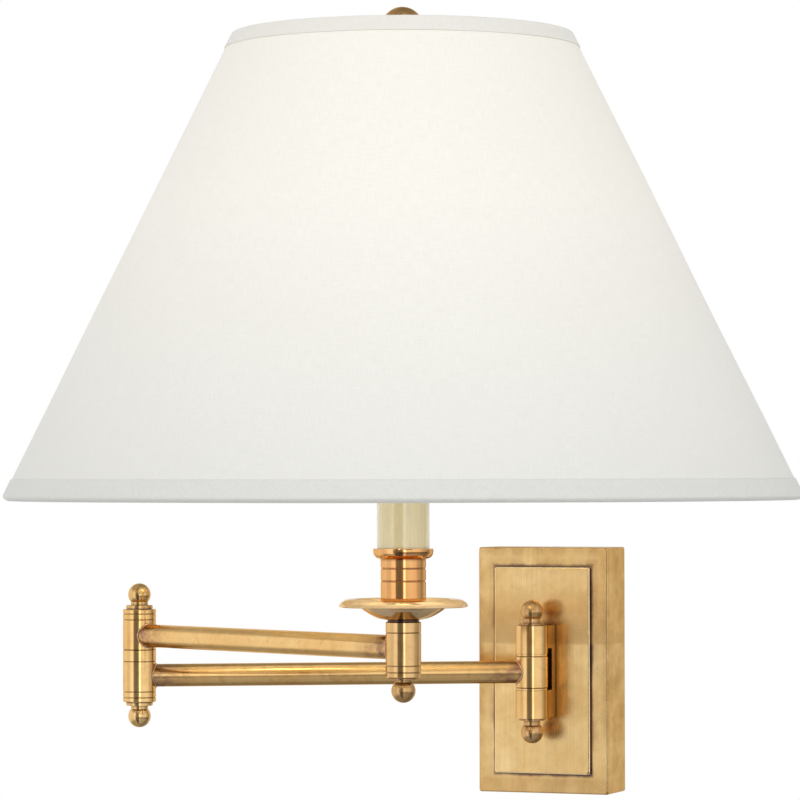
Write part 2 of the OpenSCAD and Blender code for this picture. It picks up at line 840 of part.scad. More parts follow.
// Top ring, three spokes that dip to the middle, and the hub that sits on the harp
module shade_spider() {
    hub_r = 12;
    hub_hole_r = 3.3;
    color("white")
        at_lamp() {
            turned_wall_section() translate([ring_x, shade_slant - ring_from_edge]) circle(ring_wire_r, $fn = hull_fn);
            translate([0, 0, hub_z]) ring(hub_r, hub_hole_r, hub_t);
            spokes(spoke_r);
        }
}

// Ball finial on the harp's stud
module finial() {
    seat_z = hub_z + hub_t;
    stud_hole_h = 9.5;
    rise = finial_ball_z - seat_z;
    color("goldenrod")
        at_lamp() translate([0, 0, seat_z])
            difference() {
                rotate_extrude($fn = round_fn)
                    intersection() {
                        union() {
                            square([6.5, 1.2]);
                            square([4.8, rise]);
                            translate([0, rise]) circle(finial_ball_r, $fn = round_fn);
                        }
                        square([finial_ball_r, rise + finial_ball_r]);
                    }
                translate([0, 0, -1]) cylinder(r = 3.15, h = stud_hole_h + 1, $fn = round_fn);
            }
}

// ---- switch ----

// Fluted knob on a shaft that turns in the socket's body
module switch_key() {
    shaft_r = 1.5;
    inner_y = 6;
    knob_y = 20;
    knob_r = 6;
    knob_l = 12;
    flutes = 10;
    color("black")
        at_lamp() translate([0, 0, key_z]) rotate([90, 0, 0]) {
            translate([0, 0, inner_y]) cylinder(r = shaft_r, h = knob_y - inner_y + 1, $fn = round_fn);
            translate([0, 0, knob_y]) linear_extrude(knob_l)
                difference() {
                    circle(knob_r, $fn = round_fn);
                    for (i = [0 : flutes - 1])
                        rotate(i * 360 / flutes) translate([knob_r + 0.5, 0]) circle(1.1, $fn = hull_fn);
                }
        }
}

mounting_strap();
backplate_shell();
raised_panel();
pivot_bracket();
bracket_nipple();
bracket_lock_washer();
bracket_lock_nut();
plate_set_screws();
ground_screw();
wall_pivot_pin();
wall_pivot_washers();
wall_top_ball_nut();
wall_bottom_ball_nut();
wall_knuckle();
lower_arm_tube();
lower_arm_wire();
elbow_lower_barrel();
elbow_pipe();
elbow_spacer();
elbow_bottom_ball_nut();
elbow_top_ball_nut();
elbow_upper_barrel();
upper_arm_tube();
upper_arm_wire();
lamp_knuckle();
lamp_ball_nut();
lamp_pipe();
drip_pan();
candle_cup();
candle_sleeve();
harp_saddle();
harp();
harp_ferrules();
socket_cap();
socket_shell();
socket_insulator();
socket_body();
screw_shell();
centre_contact();
bulb_base();
bulb_glass();
bulb_filament();
shade_spider();
shade_bottom_ring();
shade_liner();
shade_fabric();
shade_top_binding();
shade_bottom_binding();
finial();
switch_key();
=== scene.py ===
"""Looks of the swing arm wall sconce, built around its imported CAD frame.

Lengths are in metres, in the frame's own axes: +Z is up and -Y points from the wall into the room.
Names that end in _mm are in millimetres.
"""

import math

import bpy
from mathutils import Matrix, Vector, noise


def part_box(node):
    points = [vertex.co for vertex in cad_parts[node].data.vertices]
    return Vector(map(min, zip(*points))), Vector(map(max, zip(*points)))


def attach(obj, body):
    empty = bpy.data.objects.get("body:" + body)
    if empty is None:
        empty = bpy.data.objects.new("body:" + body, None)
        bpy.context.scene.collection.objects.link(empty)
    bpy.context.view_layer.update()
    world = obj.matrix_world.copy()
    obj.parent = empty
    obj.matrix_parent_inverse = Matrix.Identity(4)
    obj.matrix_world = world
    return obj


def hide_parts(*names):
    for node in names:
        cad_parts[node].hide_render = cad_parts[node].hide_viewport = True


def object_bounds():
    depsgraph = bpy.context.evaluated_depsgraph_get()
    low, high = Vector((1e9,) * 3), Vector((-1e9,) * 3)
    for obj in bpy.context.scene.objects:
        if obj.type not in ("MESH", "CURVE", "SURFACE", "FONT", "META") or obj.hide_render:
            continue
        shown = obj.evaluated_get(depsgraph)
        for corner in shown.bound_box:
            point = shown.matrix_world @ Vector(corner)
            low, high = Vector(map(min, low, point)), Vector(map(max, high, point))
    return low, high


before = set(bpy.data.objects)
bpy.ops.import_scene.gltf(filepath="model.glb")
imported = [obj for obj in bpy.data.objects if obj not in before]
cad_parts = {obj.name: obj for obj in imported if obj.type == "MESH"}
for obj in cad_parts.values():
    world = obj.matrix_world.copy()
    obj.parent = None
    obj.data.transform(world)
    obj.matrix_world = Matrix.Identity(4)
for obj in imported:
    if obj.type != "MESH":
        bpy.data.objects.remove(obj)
cad_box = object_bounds()

MM = 0.001
LOWER, UPPER = "lower_arm", "upper_arm"


# ---- places taken from the frame ----

def box_centre(node):
    low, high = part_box(node)
    return (Vector(low) + Vector(high)) / 2


def box_size(node):
    low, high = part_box(node)
    return Vector(high) - Vector(low)


def outer_edge(node, along):
    """Radius from the lamp's axis, and height, of the node's vertex that is furthest along (radius, z)."""
    best = None
    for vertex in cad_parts[node].data.vertices:
        radius = math.hypot(vertex.co.x - LAMP.x, vertex.co.y - LAMP.y)
        reach = radius * along[0] + vertex.co.z * along[1]
        if best is None or reach > best[0]:
            best = (reach, radius, vertex.co.z)
    return best[1], best[2]


LAMP = box_centre("candle_sleeve")
WALL_AXIS = box_centre("wall_pivot_pin")
ELBOW = box_centre("elbow_pipe")
LOWER_HEADING = math.atan2(ELBOW.y - WALL_AXIS.y, ELBOW.x - WALL_AXIS.x)
UPPER_HEADING = math.atan2(LAMP.y - ELBOW.y, LAMP.x - ELBOW.x)
ARM_LENGTH = math.hypot(ELBOW.y - WALL_AXIS.y, ELBOW.x - WALL_AXIS.x)
BARREL_RADIUS = box_size("elbow_spacer").x / 2
TUBE_RADIUS = box_size("lower_arm_tube").z / 2
LOWER_ARM_Z = box_centre("lower_arm_tube").z
UPPER_ARM_Z = box_centre("upper_arm_tube").z

# The shade's wall, from the outer bottom edge to the outer top edge
BOTTOM_RADIUS, BOTTOM_Z = outer_edge("shade_bottom_binding", (1, 0))
TOP_RADIUS, TOP_Z = outer_edge("shade_top_binding", (0.5, 1))
SLANT = math.hypot(BOTTOM_RADIUS - TOP_RADIUS, TOP_Z - BOTTOM_Z)
LEAN = math.atan2(BOTTOM_RADIUS - TOP_RADIUS, TOP_Z - BOTTOM_Z)
APEX_TO_BOTTOM = BOTTOM_RADIUS / math.sin(LEAN)
MIDDLE_RADIUS = (BOTTOM_RADIUS + TOP_RADIUS) / 2


# ---- nodes of a material ----

class Shader:
    """A material under construction, with short calls for the nodes it needs."""

    def __init__(self, name, **sockets):
        self.material = bpy.data.materials.new(name)
        self.material.use_nodes = True
        self.tree = self.material.node_tree
        self.surface = self.tree.nodes["Principled BSDF"]
        self.object_place = self.add("ShaderNodeTexCoord").outputs["Object"]
        self.set(**sockets)

    def add(self, kind, **settings):
        node = self.tree.nodes.new(kind)
        for name, value in settings.items():
            setattr(node, name, value)
        return node

    def feed(self, socket, value):
        """Links an output to the socket, or sets its constant."""
        if isinstance(value, bpy.types.NodeSocket):
            self.tree.links.new(value, socket)
        else:
            socket.default_value = value

    def set(self, **sockets):
        for name, value in sockets.items():
            self.feed(self.surface.inputs[name.replace("_", " ")], value)

    def cells(self, size, origin=(0, 0, 0), heading=0.0, place=None):
        """Coordinates from the origin, turned by heading about z and counted in cells of the given size."""
        node = self.add("ShaderNodeMapping", vector_type="TEXTURE")
        self.feed(node.inputs["Vector"], place or self.object_place)
        node.inputs["Location"].default_value = origin
        node.inputs["Rotation"].default_value = (0, 0, heading)
        node.inputs["Scale"].default_value = size
        return node.outputs["Vector"]

    def noise(self, place, detail=2.0, roughness=0.5, distortion=0.0):
        node = self.add("ShaderNodeTexNoise")
        self.feed(node.inputs["Vector"], place)
        node.inputs["Scale"].default_value = 1.0
        node.inputs["Detail"].default_value = detail
        node.inputs["Roughness"].default_value = roughness
        node.inputs["Distortion"].default_value = distortion
        return node.outputs["Fac"]

    def spread(self, value, low, high, to_low=0.0, to_high=1.0):
        """Moves the range low..high of a value onto to_low..to_high, and clamps it there."""
        node = self.add("ShaderNodeMapRange")
        for name, number in zip(("Value", "From Min", "From Max", "To Min", "To Max"),
                                (value, low, high, to_low, to_high)):
            self.feed(node.inputs[name], number)
        return node.outputs["Result"]

    def sum(self, a, b, operation="ADD"):
        node = self.add("ShaderNodeMath", operation=operation)
        self.feed(node.inputs[0], a)
        self.feed(node.inputs[1], b)
        return node.outputs["Value"]

    def times(self, a, b):
        return self.sum(a, b, "MULTIPLY")

    def split(self, place):
        """Outputs X, Y and Z of a place."""
        node = self.add("ShaderNodeSeparateXYZ")
        self.feed(node.inputs["Vector"], place)
        return node.outputs

    def mix(self, amount, a, b):
        node = self.add("ShaderNodeMix", data_type="RGBA")
        colours = [socket for socket in node.inputs if socket.type == "RGBA"]
        self.feed(node.inputs["Factor"], amount)
        self.feed(colours[0], a)
        self.feed(colours[1], b)
        return [socket for socket in node.outputs if socket.type == "RGBA"][0]

    def bump(self, height, depth, normal=None):
        node = self.add("ShaderNodeBump")
        self.feed(node.inputs["Height"], height)
        node.inputs["Distance"].default_value = depth
        if normal is not None:
            self.feed(node.inputs["Normal"], normal)
        return node.outputs["Normal"]

    def crevice(self, reach):
        """1 in a corner or a groove narrower than reach, 0 on open surface."""
        node = self.add("ShaderNodeAmbientOcclusion", samples=6)
        node.inputs["Distance"].default_value = reach
        return self.spread(node.outputs["AO"], 0.35, 0.95, 1.0, 0.0)

    def radius_and_height(self, origin):
        """Coordinates (distance from a vertical axis, height, 0) for patterns turned on a lathe."""
        parts = self.split(self.cells((1, 1, 1), origin))
        flat = self.add("ShaderNodeCombineXYZ")
        self.feed(flat.inputs["X"], parts["X"])
        self.feed(flat.inputs["Y"], parts["Y"])
        length = self.add("ShaderNodeVectorMath", operation="LENGTH")
        self.feed(length.inputs[0], flat.outputs["Vector"])
        joined = self.add("ShaderNodeCombineXYZ")
        self.feed(joined.inputs["X"], length.outputs["Value"])
        self.feed(joined.inputs["Y"], parts["Z"])
        return joined.outputs["Vector"]


def rgba(red, green, blue):
    return (red, green, blue, 1.0)


# ---- brass ----

BRASS = rgba(0.76, 0.475, 0.185)
BRASS_PALE = rgba(0.84, 0.59, 0.28)
BRASS_BROWN = rgba(0.50, 0.255, 0.085)
BRASS_DARK = rgba(0.075, 0.040, 0.032)
BRASS_ROSE = rgba(0.84, 0.55, 0.36)
BRASS_LIGHT = rgba(0.755, 0.505, 0.21)
BRASS_RIM = rgba(0.95, 0.78, 0.55)
BRASS_WALL_PIVOT = rgba(0.70, 0.43, 0.17)
BRASS_SCORCHED = rgba(0.27, 0.14, 0.095)
BRASS_PLATING = rgba(0.80, 0.58, 0.26)


def patina(shader, base, pale, brown, amount):
    """Tone of lacquered old brass: slow clouds and small stains."""
    clouds = shader.noise(shader.cells((0.024,) * 3), detail=3, roughness=0.6)
    stains = shader.noise(shader.cells((0.0055,) * 3), detail=3, roughness=0.6, distortion=0.4)
    tone = shader.mix(shader.spread(clouds, 0.35, 0.7, 0, 0.6 * amount), base, pale)
    return shader.mix(shader.spread(stains, 0.5, 0.8, 0, 0.45 * amount), tone, brown)


WAVE_SIZE = 0.011
WAVE_HEIGHT = 0.00004
FINE_GRAIN = 0.0000015


def brass(name, grain_place, roughness, base=BRASS, pale=BRASS_PALE, brown=BRASS_BROWN,
          grain=FINE_GRAIN, crevice_reach=0.0016, amount=1.0, streak=0.18, extra_tone=None, **sockets):
    """Polished brass whose fine lines run as grain_place says. extra_tone adds more colour to the tone,
    from heat stains and oxide to painted shade, highlights and reflections.
    """
    shader = Shader(name, Metallic=1.0, Specular_Tint=BRASS_RIM, **sockets)
    lines = shader.noise(grain_place(shader), detail=4, roughness=0.65)
    tone = patina(shader, base, pale, brown, amount)
    tone = shader.mix(shader.spread(lines, 0.35, 0.75, 0, streak), tone, brown)
    if extra_tone:
        tone = extra_tone(shader, tone)
    tone = shader.mix(shader.times(shader.crevice(crevice_reach), 0.9), tone, BRASS_DARK)
    wear = shader.noise(shader.cells((0.008,) * 3), detail=3)
    rough = shader.spread(wear, 0.3, 0.7, roughness - 0.03, roughness + 0.05)
    rough = shader.sum(rough, shader.spread(lines, 0.3, 0.7, -0.02, 0.03))
    waves = shader.noise(shader.cells((WAVE_SIZE,) * 3), detail=1)
    normal = shader.bump(lines, grain)
    normal = shader.bump(waves, WAVE_HEIGHT, normal)
    shader.set(Base_Color=tone, Roughness=rough, Normal=normal)
    return shader.material


def turned_grain(origin):
    """Fine rings round a vertical axis."""
    def place(shader):
        return shader.cells((0.0007, 0.00022, 1), place=shader.radius_and_height(origin))
    return place


def drawn_grain(origin, heading):
    """Long streaks along an arm."""
    def place(shader):
        return shader.cells((0.05, 0.0006, 0.0006), origin, heading)
    return place


def even_grain(shader):
    """No direction, as on balls that hands have polished."""
    return shader.cells((0.0030,) * 3)


def brushed_grain(shader):
    """Upright brushing on the wall plate."""
    return shader.cells((0.0006, 0.02, 0.14))


def soldered_ends(origin, heading):
    """Heat stains on a tube, for some 20 mm from the knuckle at each end."""
    reach = 0.022

    def extra_tone(shader, tone):
        along = shader.split(shader.cells((1, 1, 1), origin, heading))["X"]
        near = shader.spread(along, BARREL_RADIUS, BARREL_RADIUS + reach, 1, 0)
        far = shader.spread(along, ARM_LENGTH - BARREL_RADIUS - reach, ARM_LENGTH - BARREL_RADIUS)
        clouds = shader.noise(shader.cells((0.006, 0.004, 0.004)), detail=3, roughness=0.6)
        patchy = shader.spread(clouds, 0.36, 0.62, 0.25, 1.0)
        ends = shader.times(shader.sum(near, far, "MAXIMUM"), patchy)
        return shader.mix(shader.times(ends, 0.95), tone, BRASS_SCORCHED)
    return extra_tone


def edge_distance(shader, node):
    """Distance outside the front outline of a box-shaped node, negative inside it."""
    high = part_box(node)[1]
    place = shader.split(shader.object_place)
    beside = shader.sum(shader.sum(place["X"], 0.0, "ABSOLUTE"), high[0], "SUBTRACT")
    above = shader.sum(shader.sum(place["Z"], 0.0, "ABSOLUTE"), high[2], "SUBTRACT")
    return shader.sum(beside, above, "MAXIMUM")


HALO_WIDTH = 0.0060
BORDER_WIDTH = 0.0065
FOOT_TOP, FOOT_FULL = -0.0540, -0.0580
# Heights of a darker band across the plate, a painted reflection
BAND_LOW, BAND_TOP = 0.0135, 0.0285
LINE_SOFTNESS = 0.0013


def plate_halo(shader, panel, plate, height, clouds):
    """Brown oxide: round the raised panel, towards the plate's edges and along its foot."""
    patchy = shader.spread(clouds, 0.36, 0.66, 0.15, 1.0)
    halo = shader.times(shader.spread(panel, 0.0002, HALO_WIDTH, 1, 0), patchy)
    halo = shader.times(halo, shader.spread(panel, -0.0007, -0.0002))
    border = shader.times(shader.spread(plate, -BORDER_WIDTH, 0.0), patchy)
    foot = shader.times(shader.spread(height, FOOT_TOP, FOOT_FULL),
                        shader.spread(clouds, 0.3, 0.7, 0.4, 0.9))
    border = shader.sum(border, foot, "MAXIMUM")
    return shader.times(shader.sum(halo, border, "MAXIMUM"), 0.80)


def panel_line(shader, panel, clouds):
    """Dark line of uneven width in the corner round the raised panel."""
    width = shader.spread(clouds, 0.3, 0.7, 0.0001, 0.0009)
    outside = shader.spread(panel, width, shader.sum(width, LINE_SOFTNESS), 1, 0)
    line = shader.times(outside, shader.spread(panel, -0.0003, -0.0001))
    worn = shader.noise(shader.cells((0.03, 0.05, 0.035), (0.013, 0, 0.004)), detail=1)
    return shader.times(line, shader.spread(worn, 0.3, 0.6, 0.6, 0.97))


def plate_oxide_and_painted_light(shader, tone):
    """Oxide that polishing leaves on the plate, a darker band across it that is a painted reflection, and a
    painted highlight on the panel edge.
    """
    panel = edge_distance(shader, "raised_panel")
    plate = edge_distance(shader, "backplate_shell")
    height = shader.split(shader.object_place)["Z"]
    clouds = shader.noise(shader.cells((0.009, 0.02, 0.016)), detail=3, roughness=0.6)
    tone = shader.mix(plate_halo(shader, panel, plate, height, clouds), tone, rgba(0.47, 0.265, 0.095))
    tone = shader.mix(panel_line(shader, panel, clouds), tone, rgba(0.135, 0.075, 0.062))
    # Painted reflection: a darker band across the plate
    band = shader.times(shader.spread(height, BAND_LOW, BAND_LOW + 0.0012),
                        shader.spread(height, BAND_TOP - 0.0100, BAND_TOP, 1, 0))
    tone = shader.mix(shader.times(band, 0.50), tone, rgba(0.50, 0.31, 0.12))
    # Painted highlight: a pale line just inside the raised panel's edge
    rubbed = shader.times(shader.spread(panel, -0.0008, -0.0005),
                          shader.spread(panel, -0.0003, -0.0001, 1, 0))
    return shader.mix(shader.times(rubbed, 0.8), tone, rgba(1.0, 0.86, 0.55))


PAN_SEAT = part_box("drip_pan")[0][2]
BOSS_HEIGHT = 0.00105


def pan_seat_painted_shade(shader, tone):
    """Painted shade: darkens the low boss under the drip pan and the knuckle's top face."""
    from_seat = shader.sum(shader.split(shader.object_place)["Z"], PAN_SEAT, "SUBTRACT")
    seat = shader.times(shader.spread(from_seat, -0.00012, -0.00004),
                        shader.spread(from_seat, BOSS_HEIGHT, BOSS_HEIGHT + 0.0001, 1, 0))
    # Painted shade under the drip pan
    return shader.mix(seat, tone, BRASS_DARK)


# The bracket's web, and the part of it that the knuckle leaves in view as a slot, painted black as shade
WEB_FRONT = WALL_AXIS.y + 0.009
SLOT_LOW, SLOT_HIGH = -0.0097, 0.0123
BRACKET_SIDE = 0.0076


def bracket_painted_shade(shader, tone):
    """Painted shade: brown on the bracket's sides, deepest by the plate, and black in the slot behind the
    knuckle.
    """
    place = shader.split(shader.object_place)
    # Painted shade on the bracket's sides, darker towards the plate
    beside = shader.sum(place["X"], 0.0, "ABSOLUTE")
    side = shader.spread(beside, BRACKET_SIDE, BRACKET_SIDE + 0.0003)
    deep = shader.spread(place["Y"], WALL_AXIS.y + 0.002, WALL_AXIS.y + 0.0140, 0.45, 1.0)
    tone = shader.mix(shader.times(side, deep), tone, rgba(0.30, 0.145, 0.055))
    # Painted shade: black in the slot between the knuckle and the web
    from_web = shader.sum(shader.sum(place["Y"], WEB_FRONT, "SUBTRACT"), 0.0, "ABSOLUTE")
    slot = shader.times(shader.spread(from_web, 0.0003, 0.0006, 1, 0),
                        shader.spread(place["Z"], SLOT_LOW, SLOT_LOW + 0.0002))
    slot = shader.times(slot, shader.spread(place["Z"], SLOT_HIGH - 0.0002, SLOT_HIGH, 1, 0))
    return shader.mix(slot, tone, rgba(0.016, 0.009, 0.006))


def braze():
    """Rosy filler metal in the corner between a tube and its knuckle."""
    shader = Shader("braze_metal", Metallic=1.0)
    beads = shader.noise(shader.cells((0.0009,) * 3), detail=3)
    tone = shader.mix(shader.spread(beads, 0.35, 0.7), BRASS_ROSE, rgba(0.62, 0.36, 0.22))
    shader.set(Base_Color=tone, Roughness=shader.spread(beads, 0.3, 0.7, 0.28, 0.45),
               Normal=shader.bump(beads, 0.00005))
    return shader.material


# ---- other materials ----

def zinc_steel():
    shader = Shader("zinc_steel", Metallic=1.0)
    spangle = shader.noise(shader.cells((0.004,) * 3), detail=3, distortion=1.5)
    scratches = shader.noise(shader.cells((0.0003, 0.012, 0.012)), detail=3)
    tone = shader.mix(spangle, rgba(0.50, 0.52, 0.54), rgba(0.72, 0.73, 0.74))
    # Painted shade: darker grey in the corners
    tone = shader.mix(shader.crevice(0.001), tone, rgba(0.12, 0.12, 0.12))
    shader.set(Base_Color=tone, Roughness=shader.spread(scratches, 0.3, 0.7, 0.28, 0.48),
               Normal=shader.bump(scratches, 0.00001))
    return shader.material


def green_metal():
    shader = Shader("green_screw", Metallic=0.85)
    mottle = shader.noise(shader.cells((0.0012,) * 3), detail=3)
    tone = shader.mix(mottle, rgba(0.02, 0.22, 0.07), rgba(0.05, 0.34, 0.12))
    shader.set(Base_Color=tone, Roughness=shader.spread(mottle, 0.3, 0.7, 0.25, 0.45))
    return shader.material


def candle_resin():
    """Glossy ivory sleeve with faint upright drag marks."""
    shader = Shader("candle_resin", Coat_Weight=1.0, Coat_Roughness=0.02, Coat_IOR=1.65)
    drags = shader.noise(shader.cells((0.0016, 0.0016, 0.05), LAMP), detail=2, roughness=0.5)
    clouds = shader.noise(shader.cells((0.012,) * 3), detail=2)
    tone = shader.mix(shader.spread(drags, 0.3, 0.7), rgba(0.77, 0.67, 0.39), rgba(0.785, 0.69, 0.41))
    tone = shader.mix(shader.spread(clouds, 0.4, 0.75, 0, 0.3), tone, rgba(0.745, 0.635, 0.35))
    # Painted shade in the corners and grooves
    tone = shader.mix(shader.times(shader.crevice(0.0015), 0.5), tone, rgba(0.20, 0.12, 0.04))
    shader.set(Base_Color=tone, Roughness=shader.spread(drags, 0.3, 0.7, 0.22, 0.34),
               Normal=shader.bump(drags, 0.0000015))
    return shader.material


def phenolic():
    shader = Shader("phenolic", Coat_Weight=0.3, Coat_Roughness=0.15)
    flow = shader.noise(shader.cells((0.005, 0.005, 0.012)), detail=4, distortion=1.0)
    tone = shader.mix(flow, rgba(0.010, 0.008, 0.007), rgba(0.028, 0.020, 0.016))
    shader.set(Base_Color=tone, Roughness=shader.spread(flow, 0.3, 0.7, 0.25, 0.4),
               Normal=shader.bump(flow, 0.00003))
    return shader.material


def paperboard():
    shader = Shader("paperboard")
    fibres = shader.noise(shader.cells((0.0004, 0.0004, 0.003)), detail=3)
    tone = shader.mix(fibres, rgba(0.36, 0.27, 0.17), rgba(0.50, 0.40, 0.27))
    shader.set(Base_Color=tone, Roughness=0.8, Normal=shader.bump(fibres, 0.00006))
    return shader.material


def wire_jacket():
    shader = Shader("wire_jacket")
    sweat = shader.noise(shader.cells((0.003,) * 3), detail=2)
    tone = shader.mix(sweat, rgba(0.62, 0.55, 0.36), rgba(0.72, 0.65, 0.46))
    shader.set(Base_Color=tone, Roughness=shader.spread(sweat, 0.3, 0.7, 0.35, 0.5),
               Normal=shader.bump(sweat, 0.00004))
    return shader.material


def aluminium():
    shader = Shader("aluminium", Metallic=1.0)
    rolled = shader.noise(shader.cells((0.002, 0.002, 0.0002), LAMP), detail=3)
    tone = shader.mix(rolled, rgba(0.66, 0.66, 0.67), rgba(0.80, 0.80, 0.80))
    shader.set(Base_Color=tone, Roughness=shader.spread(rolled, 0.3, 0.7, 0.3, 0.45),
               Normal=shader.bump(rolled, 0.00001))
    return shader.material


def painted_wire():
    """White enamel on the shade's frame, a little yellowed by the lamp."""
    shader = Shader("painted_wire", Coat_Weight=0.2, Coat_Roughness=0.2)
    runs = shader.noise(shader.cells((0.003,) * 3), detail=3)
    tone = shader.mix(runs, rgba(0.78, 0.77, 0.73), rgba(0.86, 0.85, 0.81))
    # Painted shade in the corners where the wires meet
    tone = shader.mix(shader.times(shader.crevice(0.002), 0.6), tone, rgba(0.35, 0.30, 0.22))
    shader.set(Base_Color=tone, Roughness=shader.spread(runs, 0.3, 0.7, 0.25, 0.4),
               Normal=shader.bump(runs, 0.00008))
    return shader.material


LAMP_LIGHT = rgba(1.0, 0.86, 0.62)


def lit_bulb():
    shader = Shader("lit_bulb", IOR=1.45, Emission_Color=LAMP_LIGHT)
    etch = shader.noise(shader.cells((0.0006,) * 3), detail=3)
    height = shader.split(shader.cells((1, 1, 0.1), box_centre("bulb_glass")))["Z"]
    shader.set(Base_Color=shader.mix(etch, rgba(0.90, 0.89, 0.87), rgba(0.96, 0.95, 0.93)),
               Roughness=shader.spread(etch, 0.3, 0.7, 0.4, 0.55), Normal=shader.bump(etch, 0.00002),
               Emission_Strength=shader.spread(height, -0.35, 0.25, 3.0, 7.0))
    return shader.material


def hot_filament():
    shader = Shader("hot_filament", Emission_Color=rgba(1.0, 0.75, 0.4), Metallic=0.6)
    coil = shader.noise(shader.cells((0.0005,) * 3), detail=1)
    shader.set(Base_Color=shader.mix(coil, rgba(0.4, 0.38, 0.36), rgba(0.6, 0.58, 0.55)), Roughness=0.4,
               Emission_Strength=shader.spread(coil, 0.3, 0.7, 4.0, 8.0))
    return shader.material


# ---- cloth ----

THREAD = 0.00042
SLUB = 0.0075
GLOW = 0.145
GLOW_FULL_AT = 0.62


def threads(shader, place):
    """Height of a plain linen weave: uneven threads both ways, with a few thick slubs."""
    warp = shader.noise(shader.cells((THREAD, SLUB, 1), place=place), detail=3, roughness=0.65)
    weft = shader.noise(shader.cells((SLUB, THREAD, 1), place=place), detail=3, roughness=0.65)
    return shader.sum(warp, weft)


def lamp_glow(shader):
    """Light of the lamp through the cover: none at the bottom edge, and full from the bulb up."""
    height = shader.split(shader.object_place)["Z"]
    rise = shader.spread(height, BOTTOM_Z, BOTTOM_Z + GLOW_FULL_AT * (TOP_Z - BOTTOM_Z))
    return shader.times(rise, GLOW)


def linen():
    """The shade's cover, with the glow of the lamp."""
    shader = Shader("linen", Sheen_Weight=0.15, Sheen_Roughness=0.5)
    cut = shader.add("ShaderNodeUVMap", uv_map="cut").outputs["UV"]
    weave = threads(shader, cut)
    bolt = shader.noise(shader.cells((0.06, 0.06, 1), place=cut), detail=3)
    tone = shader.mix(shader.spread(weave, 0.7, 1.3), rgba(0.75, 0.747, 0.71), rgba(0.82, 0.818, 0.785))
    tone = shader.mix(shader.spread(bolt, 0.35, 0.7, 0, 0.3), tone, rgba(0.78, 0.77, 0.725))
    glow = shader.times(lamp_glow(shader), shader.spread(weave, 0.7, 1.3, 0.9, 1.1))
    shader.set(Base_Color=tone, Roughness=0.85, Normal=shader.bump(weave, 0.00005),
               Emission_Color=LAMP_LIGHT, Emission_Strength=glow)
    return shader.material


def tape_cloth():
    """Cotton tape of the two bindings, with fine slanted ribs."""
    shader = Shader("tape_cloth", Sheen_Weight=0.2, Sheen_Roughness=0.5)
    run = shader.add("ShaderNodeUVMap", uv_map="cut").outputs["UV"]
    ribs = threads(shader, shader.cells((1, 1, 1), heading=math.radians(45), place=run))
    tone = shader.mix(shader.spread(ribs, 0.7, 1.3), rgba(0.67, 0.67, 0.64), rgba(0.76, 0.758, 0.73))
    # Painted shade in the tape's folds and creases
    tone = shader.mix(shader.times(shader.crevice(0.0012), 0.4), tone, rgba(0.42, 0.40, 0.36))
    shader.set(Base_Color=tone, Roughness=0.9, Normal=shader.bump(ribs, 0.00006),
               Emission_Color=LAMP_LIGHT, Emission_Strength=shader.times(lamp_glow(shader), 0.75))
    return shader.material


def styrene_liner():
    """Inside of the shade: smooth white board, bright from the lamp."""
    shader = Shader("styrene_liner", Coat_Weight=0.15, Coat_Roughness=0.3)
    grain = shader.noise(shader.cells((0.0012,) * 3), detail=3)
    waves = shader.noise(shader.cells((0.05,) * 3), detail=2)
    tone = shader.mix(grain, rgba(0.86, 0.85, 0.82), rgba(0.90, 0.895, 0.87))
    shader.set(Base_Color=tone, Roughness=shader.spread(waves, 0.3, 0.7, 0.42, 0.55),
               Normal=shader.bump(grain, 0.00002), Emission_Color=LAMP_LIGHT, Emission_Strength=0.12)
    return shader.material


# ---- mesh pieces ----

def mesh_piece(name, points, faces, material, body, uv=None):
    """A new mesh object on a body. uv gives each point's (u, v) in metres."""
    mesh = bpy.data.meshes.new(name)
    mesh.from_pydata(points, [], faces)
    mesh.validate()
    if uv:
        layer = mesh.uv_layers.new(name="cut")
        for loop in mesh.loops:
            layer.data[loop.index].uv = uv[loop.vertex_index]
    for polygon in mesh.polygons:
        polygon.use_smooth = True
    mesh.materials.append(material)
    piece = bpy.data.objects.new(name, mesh)
    bpy.context.scene.collection.objects.link(piece)
    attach(piece, body)
    return piece


def bridged(rows, columns, rows_closed, columns_closed):
    """Quads between neighbouring points of a grid of rows by columns."""
    faces = []
    for i in range(rows if rows_closed else rows - 1):
        for j in range(columns if columns_closed else columns - 1):
            a, b = i * columns + j, i * columns + (j + 1) % columns
            c = ((i + 1) % rows) * columns
            faces.append((a, b, c + (j + 1) % columns, c + j))
    return faces


def wall_point(angle, out, up):
    """Point of the shade's wall: out along its normal from the tapes' face, up along its slope."""
    radius = BOTTOM_RADIUS + out * math.cos(LEAN) - up * math.sin(LEAN)
    z = BOTTOM_Z + out * math.sin(LEAN) + up * math.cos(LEAN)
    return (LAMP.x + radius * math.cos(angle), LAMP.y + radius * math.sin(angle), z)


def cut_point(turn, up):
    """Where a point of the cone lies on the flat cut, with turn measured from the seam."""
    reach = APEX_TO_BOTTOM - up
    fan = turn * math.sin(LEAN)
    return (reach * math.cos(fan), reach * math.sin(fan))


SEAM_ANGLE = math.radians(90)
LAP = 0.009
CLOTH = 0.0005
COVER_INNER = -0.001
STYRENE = 0.0006
SHEET_WAVE = 0.00030
TAPE_WAVE = 0.00012
AROUND = 288


def soft_wave(angle, up, size):
    """A slow unevenness of hand-made work, the same at both ends of a turn."""
    waves_around, waves_up = 2.2, 14
    place = Vector((math.cos(angle) * waves_around, math.sin(angle) * waves_around, up * waves_up))
    return size * noise.noise(place)


def smooth_step(x):
    x = min(max(x, 0), 1)
    return x * x * (3 - 2 * x)


